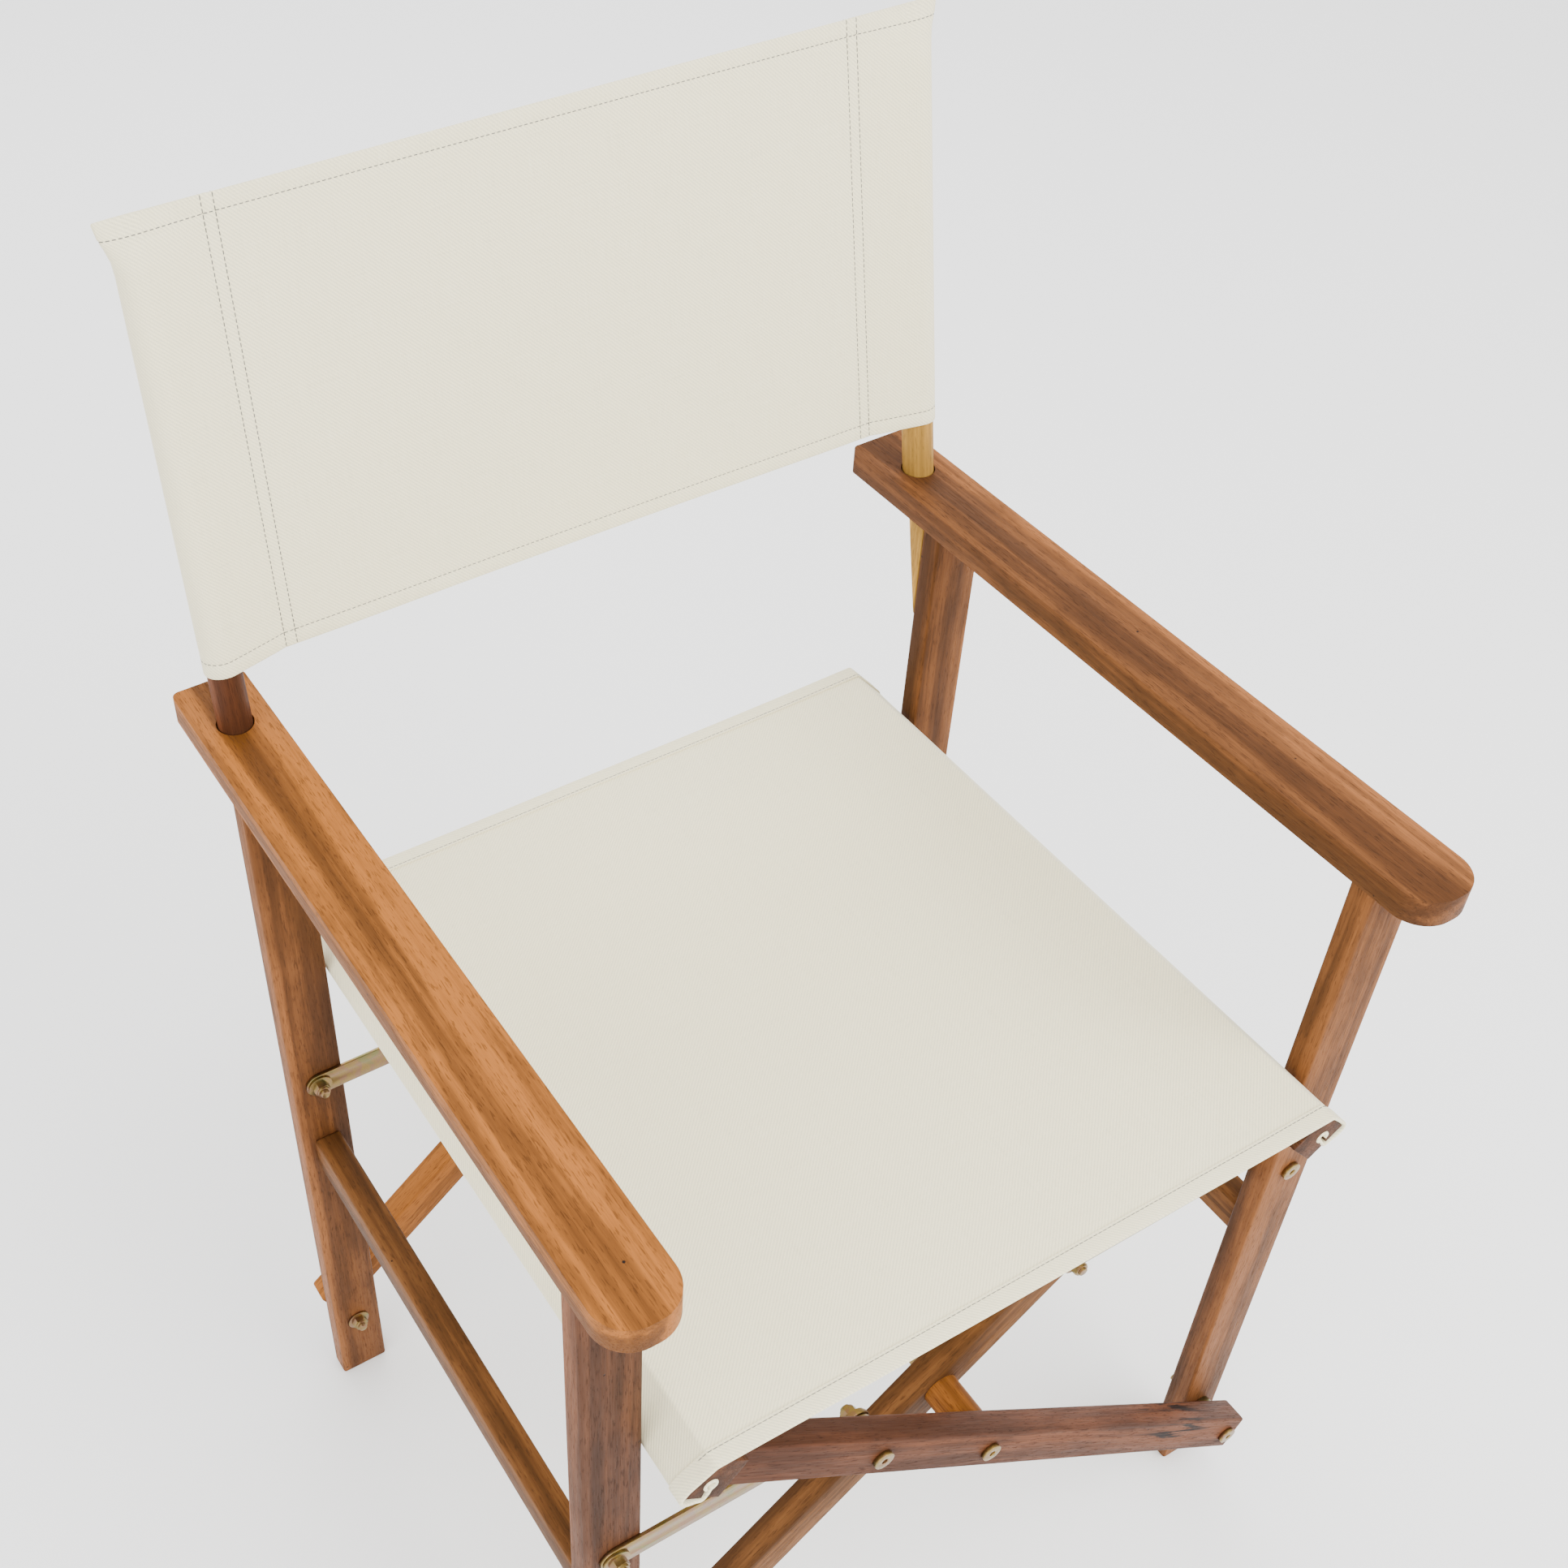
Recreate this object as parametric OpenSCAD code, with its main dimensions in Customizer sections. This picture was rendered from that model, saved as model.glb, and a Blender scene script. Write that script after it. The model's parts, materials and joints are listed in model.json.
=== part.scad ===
// Folding armchair: two side frames, two crossed leg frames, four metal straps, canvas seat and back.
// Millimetres. X to the sitter's left and right, Y from front to back, Z up.
// The origin is on the floor under the middle of the chair's outer box.
// The leg frames and everything bolted to them look the same after half a turn about the vertical
// line midway between the posts, so the rear half is made by turning the front half.

/* [Overall] */
// Width over the two armrests
overall_w = 551; // [500:1:640]
// Height of the armrests' top face above the floor
arm_top_z = 645; // [600:1:700]

/* [Armrests] */
// Length of an armrest
arm_len = 516; // [505:1:580]
// Width of an armrest
arm_w = 47; // [42:0.5:56]
// Thickness of an armrest
arm_t = 18.5; // [17:0.5:24]
// Radius of the two front corners
arm_front_r = 21; // [6:0.5:21]
// Radius of the two rear corners
arm_rear_r = 5; // [2:0.5:12]

/* [Posts and side rails] */
// Width of a post, side to side
post_w = 36.5; // [32:0.5:40]
// Thickness of a post, front to back
post_t = 17; // [15:0.5:22]
// Distance from the armrest's outer edge in to the post
post_inset = 3.5; // [0:0.5:8]
// Distance from the armrest's front end to the front post
front_post_y = 36.5; // [34:0.5:60]
// Distance from the armrest's front end to the back face of the rear post
rear_post_y = 440.5; // [420:0.5:446]
// Height of the underside of the side rails
side_rail_z = 273; // [230:1:300]
// Height of a side rail's section
side_rail_h = 27; // [20:0.5:34]
// Thickness of a side rail's section
side_rail_t = 19; // [14:0.5:22]
// How far the wedge stands out behind the rear post, at the armrest
wedge_out = 17.5; // [8:0.5:24]
// Height of the wedge
wedge_h = 80; // [40:1:120]
// Width of the wedge, side to side
wedge_w = 24; // [14:0.5:30]

/* [Back] */
// Diameter of a back dowel
dowel_d = 21; // [18:0.5:24]
// Diameter of the hole that the dowel stands in
dowel_hole_d = 23; // [21.5:0.5:26]
// Depth of that hole
dowel_hole_depth = 14; // [8:0.5:15]
// Distance from the armrest's outer edge in to the hole's centre
dowel_inset = 23.5; // [16:0.5:30]
// Distance from the armrest's front end to the hole's centre
dowel_y = 472; // [455:0.5:490]
// Length of a dowel above the armrest
dowel_len = 284; // [260:1:340]
// Backward lean of the dowels, in degrees
back_rake = 9.5; // [0:0.5:15]
// Inward lean of the dowels, in degrees
back_lean = 1; // [0:0.25:2]
// Gap between the armrest and the back canvas, along the dowel
back_gap = 37; // [25:1:60]
// Height of the back canvas, along the dowel
back_h = 268; // [200:1:300]
// Distance from the dowel's centre to the seam that closes its pocket
pocket_w = 34; // [24:1:50]

/* [Leg frames] */
// Width of a leg
leg_w = 30; // [26:0.5:36]
// Thickness of a leg, front to back
leg_t = 19; // [15:0.5:22]
// Slope of the legs when the chair is open, in degrees
leg_angle = 40.3; // [38:0.1:42]
// Height of the foot pivots
foot_z = 65; // [50:1:80]
// Gap between an outer leg and the post, along the bolt
outer_gap = 9; // [7:0.5:12]
// Gap between an inner leg and the post, along the bolt
inner_gap = 4.3; // [4:0.1:8]
// Distance from the crossing bolt to the seat rail's outer face, along the leg
seat_edge = 291.5; // [280:0.5:294]
// Side of a seat rail's square section
rail_size = 28.5; // [26:0.5:30]
// Distance from the armrest's front end to the seat rail's front end
rail_front_y = 2; // [0:0.5:6]
// Diameter of the rod in a seat rail's groove
rod_d = 5; // [4:0.5:6]
// Width of the groove's mouth
groove_w = 3.2; // [2.5:0.1:4]

/* [Straps and fasteners] */
// Distance from the crossing bolt to the strap bolt, along the leg
strap_bolt_r = 118.5; // [110:0.5:125]
// Height of the strap bolts in the posts above the foot pivots
strap_pin_up = 293; // [288:0.5:297]
// Width of a strap
strap_w = 19; // [16:0.5:22]
// Thickness of a strap
strap_t = 2.5; // [2:0.1:3]
// Diameter of the bolts' shafts
bolt_d = 6; // [5:0.5:8]
// Diameter of a bolt's head
head_d = 13.5; // [12:0.5:18]
// Thickness of a bolt's head
head_t = 3; // [2:0.1:3.2]
// Width of the hexagon socket in a bolt's head
socket_w = 4; // [3:0.5:5]
// Width of a nut across its flats
nut_w = 10; // [9:0.5:13]
// Thickness of a nut
nut_t = 6; // [5:0.5:7]
// Diameter of a washer
washer_d = 17; // [13:0.5:18]
// Thickness of a washer
washer_t = 1.5; // [1:0.1:1.6]
// Diameter of the wooden spacers
spacer_d = 24; // [18:0.5:26]
// Diameter of the hidden wooden joint pins
pin_d = 8; // [6:0.5:10]
// Length of the hidden wooden joint pins
pin_len = 28; // [20:1:32]

/* [Fabric] */
// Thickness of the canvas
canvas_t = 1.4; // [0.8:0.1:2]
// How far the seat canvas stands out past the front and rear ends of the seat rails
seat_over = 3; // [0:0.5:4]

/* [Hidden] */
$fn = 48;
// Gap between a turning piece and what it turns against
slip = 0.15;
// Radial clearance of a shaft in its hole
fit = 0.05;
// Room between a strap's leg end and the stub bolt on the leg, where the linkage is open
open_gap = 0.5;
// Clearance between the canvas and the wood under it
cloth_gap = 0.3;
// How far a cut runs past the face that it opens, and a joined shape into its neighbour
past = 1;
// Bolt shaft past its nut
bolt_end = 2.5;
// Length of the stub bolt that a strap's nut sits on, past the nut
stub_end = 1.5;
// Ends of the legs past the foot bolt, on the upper and on the lower edge
foot_upper = 11;
foot_lower = 19;
// The groove's round part: diameter, place along the leg past its end, and height over the rail's middle
groove_d = 7.6;
groove_u = 16;
groove_v = -4;
// The groove's mouth is this much nearer to the leg than its round part
groove_slant = 3;
// Depth of the leg pins in the seat rails, clear of the groove
rail_pin = 10;
// Distance from a seat rail's ends in to the rod in its groove
rod_inset = 2;
// Length of bolt that a nut needs, from the wood: its washer, the nut and the end past it
nut_reach = washer_t + nut_t + bolt_end;

half_w = overall_w / 2;
arm_under_z = arm_top_z - arm_t;
post_x = half_w - post_inset - post_w / 2;
dowel_x = half_w - dowel_inset;
arm_x = half_w - arm_w / 2;
turn_y = (front_post_y + rear_post_y) / 2;
span = post_x / cos(leg_angle);
// Distance from the crossing bolt to the leg's upper end, where the seat rail begins
leg_top = seat_edge - rail_size;
cross_z = foot_z + post_x * tan(leg_angle);
strap_z = foot_z + strap_pin_up;
outer_leg_y = front_post_y - outer_gap - leg_t;
inner_leg_y = front_post_y + post_t + inner_gap;
post_back_y = front_post_y + post_t;
cross_nut_y = inner_leg_y + leg_t + slip;
rail_len = 2 * (turn_y - rail_front_y);
side_rail_len = rear_post_y - front_post_y - 2 * post_t;
// Lower end of each strap's layer, the front set: in front of the left post, behind the right one
strap_left_y = front_post_y - slip - strap_t;
strap_right_y = post_back_y + slip;
strap_dx = post_x - strap_bolt_r * cos(leg_angle);
strap_dz = cross_z + strap_bolt_r * sin(leg_angle) - strap_z;
strap_len = sqrt(strap_dx * strap_dx + strap_dz * strap_dz);
strap_tilt = atan2(strap_dz, strap_dx);
sleeve_r = dowel_d / 2 + cloth_gap + canvas_t;
back_top = back_gap + back_h;
back_y = dowel_y + back_top * cos(back_lean) * sin(back_rake) + sleeve_r * cos(back_rake);
mid_y = back_y / 2;

// ---- places ----

// Puts the armrests' front ends at their distance from the middle of the chair
module place() { translate([0, -mid_y, 0]) children(); }

// Half a turn about the vertical line midway between the posts
module half_turn() { translate([0, turn_y, 0]) rotate(180) translate([0, -turn_y, 0]) children(); }

// side is -1 for the left and 1 for the right, as seen from the front
module on_side(side) { translate([side * post_x, 0, 0]) children(); }

// A leg's own frame: X along the leg from the crossing bolt towards the seat rail, Z across it.
// The leg rises to the right when side is 1 and to the left when it is -1.
module along_leg(side) {
    translate([0, 0, cross_z])
        mirror([side < 0 ? 1 : 0, 0, 0])
            rotate([0, -leg_angle, 0])
                children();
}

// The raked frame of the back, with Z up the back from the armrests' top face
module on_back() { translate([0, dowel_y, arm_top_z]) rotate([-back_rake, 0, 0]) children(); }

// A dowel's own frame, Z along it
module on_dowel(side) {
    on_back() translate([side * dowel_x, 0, 0]) rotate([0, -side * back_lean, 0]) children();
}

// ---- small parts ----

// A shaft along Y from y0 to y1
module shaft(y0, y1, d) { translate([0, y0, 0]) rotate([-90, 0, 0]) cylinder(d = d, h = y1 - y0); }

// A ring along Y from y0 to y1 with a hole that the bolt runs in
module ring(y0, y1, d) {
    difference() {
        shaft(y0, y1, d);
        shaft(y0 - past, y1 + past, bolt_d + 2 * fit);
    }
}

// A lock nut along Y from y0 to y1, with a round collar at the end that faces away from the wood
module nut(y0, y1, collar_first) {
    collar = nut_t / 4;
    a = collar_first ? y0 + collar : y0;
    b = collar_first ? y1 : y1 - collar;
    difference() {
        union() {
            translate([0, a, 0]) rotate([-90, 0, 0])
                cylinder(d = nut_w / cos(30), h = b - a, $fn = 6);
            shaft(y0, y1, nut_w * 0.9);
        }
        shaft(y0 - past, y1 + past, bolt_d + 2 * fit);
    }
}

// A bolt along Y: flat head from head_y for head_t, on the side away from end_y
module bolt(head_y, end_y) {
    dir = end_y > head_y ? 1 : -1;
    low = dir > 0 ? head_y - head_t : head_y;
    difference() {
        union() {
            shaft(low, low + head_t, head_d);
            shaft(min(head_y, end_y), max(head_y, end_y), bolt_d);
        }
        translate([0, head_y - dir * (head_t + past), 0]) rotate([dir > 0 ? -90 : 90, 0, 0])
            cylinder(d = socket_w / cos(30), h = past + head_t * 0.6, $fn = 6);
    }
}

// A hole along Y for a bolt, right through the layer from y0 to y1
module bolt_hole(y0, y1) { shaft(y0 - past, y1 + past, bolt_d + 2 * fit); }

// A hidden joint pin along Z, centred, and the hole for it
module pin(extra = 0) { translate([0, 0, -pin_len / 2]) cylinder(d = pin_d + extra, h = pin_len); }

// ---- side frames ----

module arm_outline() {
    x0 = -arm_w / 2;
    union() {
        translate([x0, arm_front_r]) square([arm_w, arm_len - arm_front_r - arm_rear_r]);
        translate([x0 + arm_front_r, 0]) square([arm_w - 2 * arm_front_r, arm_front_r + past]);
        translate([x0 + arm_rear_r, arm_len - arm_rear_r - past])
            square([arm_w - 2 * arm_rear_r, arm_rear_r + past]);
        for (s = [-1, 1]) {
            translate([s * (arm_w / 2 - arm_front_r), arm_front_r]) circle(r = arm_front_r);
            translate([s * (arm_w / 2 - arm_rear_r), arm_len - arm_rear_r]) circle(r = arm_rear_r);
        }
    }
}

module arm(side) {
    color("peru") place() difference() {
        translate([side * arm_x, 0, arm_under_z]) linear_extrude(arm_t) arm_outline();
        on_dowel(side) translate([0, 0, -dowel_hole_depth])
            cylinder(d = dowel_hole_d, h = dowel_hole_depth + dowel_hole_d);
        on_side(side) arm_pins(2 * fit);
    }
}

// The pins that join the armrest to its two posts
module arm_pins(extra = 0) {
    for (y = [front_post_y + post_t / 2, rear_post_y - post_t / 2])
        translate([0, y, arm_under_z]) pin(extra);
}

// The pins that join the side rail to its two posts
module side_rail_pins(extra = 0) {
    for (y = [post_back_y, rear_post_y - post_t])
        translate([0, y, side_rail_z + side_rail_h / 2]) rotate([90, 0, 0]) pin(extra);
}

// A front post: the left one and the right one differ only in place
module front_post(side) {
    difference() {
        on_side(side) translate([-post_w / 2, front_post_y, 0]) cube([post_w, post_t, arm_under_z]);
        on_side(side) translate([0, 0, strap_z]) bolt_hole(front_post_y, post_back_y);
        on_side(side) translate([0, 0, foot_z]) bolt_hole(front_post_y, post_back_y);
        on_side(side) arm_pins(2 * fit);
        on_side(side) side_rail_pins(2 * fit);
    }
}

module side_rail(side) {
    color("saddlebrown") place() difference() {
        on_side(side) translate([-side_rail_t / 2, post_back_y, side_rail_z])
            cube([side_rail_t, side_rail_len, side_rail_h]);
        on_side(side) side_rail_pins(2 * fit);
    }
}

// Triangular block behind the rear post, flush with the post's inner face
module wedge(side) {
    inner = side * (post_x - post_w / 2 + wedge_w / 2);
    color("burlywood") place() translate([inner, rear_post_y, arm_under_z])
        rotate([90, 0, 90]) translate([0, 0, -wedge_w / 2])
            linear_extrude(wedge_w) polygon([[0, 0], [wedge_out, 0], [0, -wedge_h]]);
}

module dowel(side) {
    color("tan") place() on_dowel(side) translate([0, 0, -dowel_hole_depth])
        cylinder(d = dowel_d, h = dowel_hole_depth + dowel_len);
}

module joint_pins(side) {
    color("wheat") place() on_side(side) {
        arm_pins();
        side_rail_pins();
    }
}

// The bolt that holds the front strap to the front post. The left strap lies in front of its post
// and the right strap lies behind it, and each nut is on the strap's side.
module front_strap_bolt(side) {
    reach = slip * 2 + strap_t + nut_reach;
    on_side(side) translate([0, 0, strap_z])
        if (side < 0) bolt(post_back_y, front_post_y - reach);
        else bolt(front_post_y, post_back_y + reach);
}

module front_strap_nut(side) {
    off = 2 * slip + strap_t;
    on_side(side) translate([0, 0, strap_z]) {
        if (side < 0) {
            y = front_post_y - off;
            ring(y - washer_t, y, washer_d);
            nut(y - washer_t - nut_t, y - washer_t, true);
        } else {
            y = post_back_y + off;
            ring(y, y + washer_t, washer_d);
            nut(y + washer_t, y + washer_t + nut_t, false);
        }
    }
}

// The front foot bolt: the right one passes the outer leg, the left one the inner leg
module front_foot_bolt(side) {
    on_side(side) translate([0, 0, foot_z])
        if (side < 0)
            bolt(front_post_y, cross_nut_y + nut_reach);
        else
            bolt(outer_leg_y - slip, post_back_y + nut_reach);
}

module front_foot_nut(side) {
    y = side < 0 ? cross_nut_y : post_back_y;
    on_side(side) translate([0, 0, foot_z]) {
        ring(y, y + washer_t, washer_d);
        nut(y + washer_t, y + washer_t + nut_t, false);
    }
}

module front_foot_spacer(side) {
    on_side(side) translate([0, 0, foot_z])
        if (side < 0) ring(post_back_y, inner_leg_y - slip, washer_d);
        else ring(outer_leg_y + leg_t + slip, front_post_y, washer_d);
}

// The four kinds of fastener on one side frame: the rear half is the other side's front, turned
module strap_bolts(side) {
    color("gold") place() { front_strap_bolt(side); half_turn() front_strap_bolt(-side); }
}
module strap_nuts(side) {
    color("gold") place() { front_strap_nut(side); half_turn() front_strap_nut(-side); }
}
module foot_bolts(side) {
    color("gold") place() { front_foot_bolt(side); half_turn() front_foot_bolt(-side); }
}
module foot_nuts(side) {
    color("gold") place() { front_foot_nut(side); half_turn() front_foot_nut(-side); }
}
module foot_spacers(side) {
    color("gold") place() { front_foot_spacer(side); half_turn() front_foot_spacer(-side); }
}

// ---- leg frames ----

// A leg in the layer that starts at y0, rising to the given side
module leg(side, y0) {
    h = leg_w / 2;
    difference() {
        along_leg(side) translate([0, y0 + leg_t, 0]) rotate([90, 0, 0]) linear_extrude(leg_t)
            polygon([[-span - foot_upper, h], [leg_top, h], [leg_top, -h], [-span - foot_lower, -h]]);
        along_leg(side) for (u = [-span, 0, strap_bolt_r])
            translate([u, 0, 0]) bolt_hole(y0, y0 + leg_t);
        along_leg(side) leg_pin(y0, 2 * fit);
    }
}

// The pin between the leg that starts at y0 and its seat rail
module leg_pin(y0, extra = 0) {
    translate([leg_top, y0 + leg_t / 2, 0]) rotate([0, 90, 0]) pin_short(extra);
}

// A pin that goes as deep in the seat rail as its section allows
module pin_short(extra = 0) {
    translate([0, 0, -pin_len / 2]) cylinder(d = pin_d + extra, h = pin_len / 2 + rail_pin);
}

// A seat rail: a square bar on the legs' ends, with a keyhole groove along its lower face
module seat_rail(side) {
    h = rail_size / 2;
    color("sienna") place() difference() {
        along_leg(side) translate([leg_top, rail_front_y, -h]) cube([rail_size, rail_len, rail_size]);
        along_leg(side) translate([leg_top + groove_u, rail_front_y - past, groove_v])
            rotate([-90, 0, 0]) cylinder(d = groove_d, h = rail_len + 2 * past);
        along_leg(side) translate([leg_top + groove_u, rail_front_y - past, groove_v])
            rotate([0, atan2(groove_slant, h + groove_v), 0])
                translate([-groove_w / 2, 0, -h - past])
                    cube([groove_w, rail_len + 2 * past, h + past]);
        along_leg(side) rail_pins(side, 2 * fit);
    }
}

// Both pins of a seat rail: the right rail is on the front inner and the rear outer leg
module rail_pins(side, extra = 0) {
    front = side > 0 ? inner_leg_y : outer_leg_y;
    rear = 2 * turn_y - leg_t - (side > 0 ? outer_leg_y : inner_leg_y);
    leg_pin(front, extra);
    leg_pin(rear, extra);
}

module leg_pins(side) { color("wheat") place() along_leg(side) rail_pins(side); }

module seat_rod(side) {
    color("whitesmoke") place() along_leg(side)
        translate([leg_top + groove_u, rail_front_y + rod_inset, groove_v])
            rotate([-90, 0, 0]) cylinder(d = rod_d, h = rail_len - 2 * rod_inset);
}

// The stub bolt on a leg at the strap's end. The strap's own nut and stub are the strap's pieces.
module front_leg_bolt(side) {
    along_leg(side) translate([strap_bolt_r, 0, 0])
        if (side < 0) bolt(outer_leg_y, strap_left_y - open_gap);
        else bolt(inner_leg_y + leg_t, strap_right_y + strap_t + open_gap);
}

module front_leg_spacer(side) {
    along_leg(side) translate([strap_bolt_r, 0, 0])
        if (side < 0) ring(outer_leg_y + leg_t, strap_left_y - open_gap, washer_d);
        else ring(strap_right_y + strap_t + open_gap, inner_leg_y, washer_d);
}

module leg_bolts(side) {
    color("gold") place() { front_leg_bolt(side); half_turn() front_leg_bolt(-side); }
}
module leg_spacers(side) {
    color("gold") place() { front_leg_spacer(side); half_turn() front_leg_spacer(-side); }
}

// The crossing bolts: head in front of the outer leg, nut behind the inner one
module front_cross_bolt() {
    translate([0, 0, cross_z]) bolt(outer_leg_y, cross_nut_y + nut_reach);
}
module front_cross_nut() {
    translate([0, 0, cross_z]) {
        ring(cross_nut_y, cross_nut_y + washer_t, washer_d);
        nut(cross_nut_y + washer_t, cross_nut_y + washer_t + nut_t, false);
    }
}
module front_cross_spacer() {
    translate([0, 0, cross_z]) ring(outer_leg_y + leg_t, inner_leg_y - slip, spacer_d);
}
// The rear spacer sits on the inner leg, and leaves its gap at the outer one
module rear_cross_spacer() {
    half_turn() translate([0, 0, cross_z]) ring(outer_leg_y + leg_t + slip, inner_leg_y, spacer_d);
}
// The rear bolt's head lies on the outer leg of the other frame, so it keeps a gap there
module rear_cross_bolt() {
    half_turn() translate([0, 0, cross_z])
        bolt(outer_leg_y - slip, inner_leg_y + leg_t + nut_reach);
}
module rear_cross_nut() {
    y = inner_leg_y + leg_t;
    half_turn() translate([0, 0, cross_z]) {
        ring(y, y + washer_t, washer_d);
        nut(y + washer_t, y + washer_t + nut_t, false);
    }
}

// ---- straps ----

// A strap's own frame: X from the post bolt to the leg bolt, at the post bolt
module along_strap(side) {
    on_side(side) translate([0, 0, strap_z])
        mirror([side > 0 ? 1 : 0, 0, 0]) rotate([0, -strap_tilt, 0]) children();
}

module front_strap(side) {
    y = side < 0 ? strap_left_y : strap_right_y;
    along_strap(side) difference() {
        translate([0, y + strap_t, 0]) rotate([90, 0, 0]) linear_extrude(strap_t) union() {
            translate([0, -strap_w / 2]) square([strap_len, strap_w]);
            for (u = [0, strap_len]) translate([u, 0]) circle(d = strap_w);
        }
        for (u = [0, strap_len]) translate([u, 0, 0]) bolt_hole(y, y + strap_t);
    }
}

// The nut, its washer and the stub of bolt at a strap's leg end
module front_end_nut(side) {
    along_strap(side) translate([strap_len, 0, 0]) {
        if (side < 0) {
            y = strap_left_y + strap_t;
            ring(y, y + washer_t, washer_d);
            nut(y + washer_t, y + washer_t + nut_t, false);
            shaft(strap_left_y, y + washer_t + nut_t + stub_end, bolt_d);
        } else {
            y = strap_right_y;
            ring(y - washer_t, y, washer_d);
            nut(y - washer_t - nut_t, y - washer_t, true);
            shaft(y - washer_t - nut_t - stub_end, y + strap_t, bolt_d);
        }
    }
}

// ---- fabric ----

// The seat canvas: taut between the seat rails' upper corners, and down over their outer faces.
// A point beside a right-rising leg, seen from the front: u along it and v across it
function on_leg(u, v) = [
    u * cos(leg_angle) - v * sin(leg_angle),
    cross_z + u * sin(leg_angle) + v * cos(leg_angle)
];

// One half of the canvas's section, from under its edge round to its top
function seat_half(side) = let (
    u0 = leg_top + rail_size + cloth_gap,
    h = rail_size / 2,
    under = on_leg(u0, h + cloth_gap),
    low_in = on_leg(u0, -h),
    low_out = on_leg(u0 + canvas_t, -h),
    shoulder = on_leg(u0 + canvas_t, h + cloth_gap)
) [for (p = [under, low_in, low_out, shoulder, [under[0], under[1] + canvas_t]]) [side * p[0], p[1]]];

module seat_canvas() {
    color("ivory") place()
        translate([0, rail_front_y + rail_len + seat_over, 0]) rotate([90, 0, 0])
            linear_extrude(rail_len + 2 * seat_over)
                polygon(concat(seat_half(1), [for (i = [4:-1:0]) seat_half(-1)[i]]));
}

// A dowel's pocket: round outside, closing to the seam on the inner side, open for the dowel
module pocket(side) {
    on_dowel(side) translate([0, 0, back_gap]) linear_extrude(back_h) difference() {
        union() {
            circle(r = sleeve_r);
            polygon([[0, sleeve_r], [0, -sleeve_r], [-side * pocket_w, -canvas_t], [-side * pocket_w, canvas_t]]);
        }
        circle(r = dowel_d / 2 + cloth_gap);
    }
}

module back_canvas() {
    low = back_gap;
    top = back_top;
    // The seams lean in with the dowels
    x_low = dowel_x - low * sin(back_lean) - pocket_w + past;
    x_top = dowel_x - top * sin(back_lean) - pocket_w + past;
    z_low = low * cos(back_lean);
    z_top = top * cos(back_lean);
    color("ivory") place() union() {
        pocket(-1);
        pocket(1);
        on_back() translate([0, canvas_t / 2, 0]) rotate([90, 0, 0]) linear_extrude(canvas_t)
            polygon([[-x_low, z_low], [x_low, z_low], [x_top, z_top], [-x_top, z_top]]);
    }
}

arm(-1);  // arm_left
arm(1);  // arm_right
color("sienna") place() front_post(-1);  // post_front_left
color("peru") place() front_post(1);  // post_front_right
color("sienna") place() half_turn() front_post(1);  // post_rear_left
color("peru") place() half_turn() front_post(-1);  // post_rear_right
side_rail(-1);  // side_rail_left
side_rail(1);  // side_rail_right
wedge(-1);  // wedge_left
wedge(1);  // wedge_right
dowel(-1);  // dowel_left
dowel(1);  // dowel_right
joint_pins(-1);  // joint_pins_left
joint_pins(1);  // joint_pins_right
strap_bolts(-1);  // strap_bolts_left
strap_bolts(1);  // strap_bolts_right
strap_nuts(-1);  // strap_nuts_left
strap_nuts(1);  // strap_nuts_right
foot_bolts(-1);  // foot_bolts_left
foot_bolts(1);  // foot_bolts_right
foot_nuts(-1);  // foot_nuts_left
foot_nuts(1);  // foot_nuts_right
foot_spacers(-1);  // foot_spacers_left
foot_spacers(1);  // foot_spacers_right
color("olive") place() leg(1, inner_leg_y);  // leg_front_inner
color("peru") place() half_turn() leg(-1, outer_leg_y);  // leg_rear_outer
seat_rail(1);  // seat_rail_right
seat_rod(1);  // seat_rod_right
leg_pins(1);  // leg_pins_a
leg_bolts(1);  // leg_bolts_a
leg_spacers(1);  // leg_spacers_a
color("brown") place() leg(-1, outer_leg_y);  // leg_front_outer
color("brown") place() half_turn() leg(1, inner_leg_y);  // leg_rear_inner
seat_rail(-1);  // seat_rail_left
seat_rod(-1);  // seat_rod_left
leg_pins(-1);  // leg_pins_b
leg_bolts(-1);  // leg_bolts_b
leg_spacers(-1);  // leg_spacers_b
color("gold") place() { front_cross_bolt(); rear_cross_bolt(); }  // cross_bolts
color("gold") place() { front_cross_nut(); rear_cross_nut(); }  // cross_nuts
color("sienna") place() front_cross_spacer();  // cross_spacer_front
color("sienna") place() rear_cross_spacer();  // cross_spacer_rear
color("gold") place() front_strap(-1);  // strap_front_left
color("gold") place() half_turn() front_strap(1);  // strap_rear_left
color("gold") place() front_strap(1);  // strap_front_right
color("gold") place() half_turn() front_strap(-1);  // strap_rear_right
color("gold") place() front_end_nut(-1);  // strap_end_nuts_front_left
color("gold") place() half_turn() front_end_nut(1);  // strap_end_nuts_rear_left
color("gold") place() front_end_nut(1);  // strap_end_nuts_front_right
color("gold") place() half_turn() front_end_nut(-1);  // strap_end_nuts_rear_right
seat_canvas();
back_canvas();
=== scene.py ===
"""Looks of a folding armchair with a canvas seat and back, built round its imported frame."""

import json
import logging
import math
from dataclasses import dataclass, field
from enum import Enum
from typing import Callable, Iterable, Optional, Sequence

import bmesh
import bpy
from mathutils import Euler, Matrix, Vector


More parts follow.
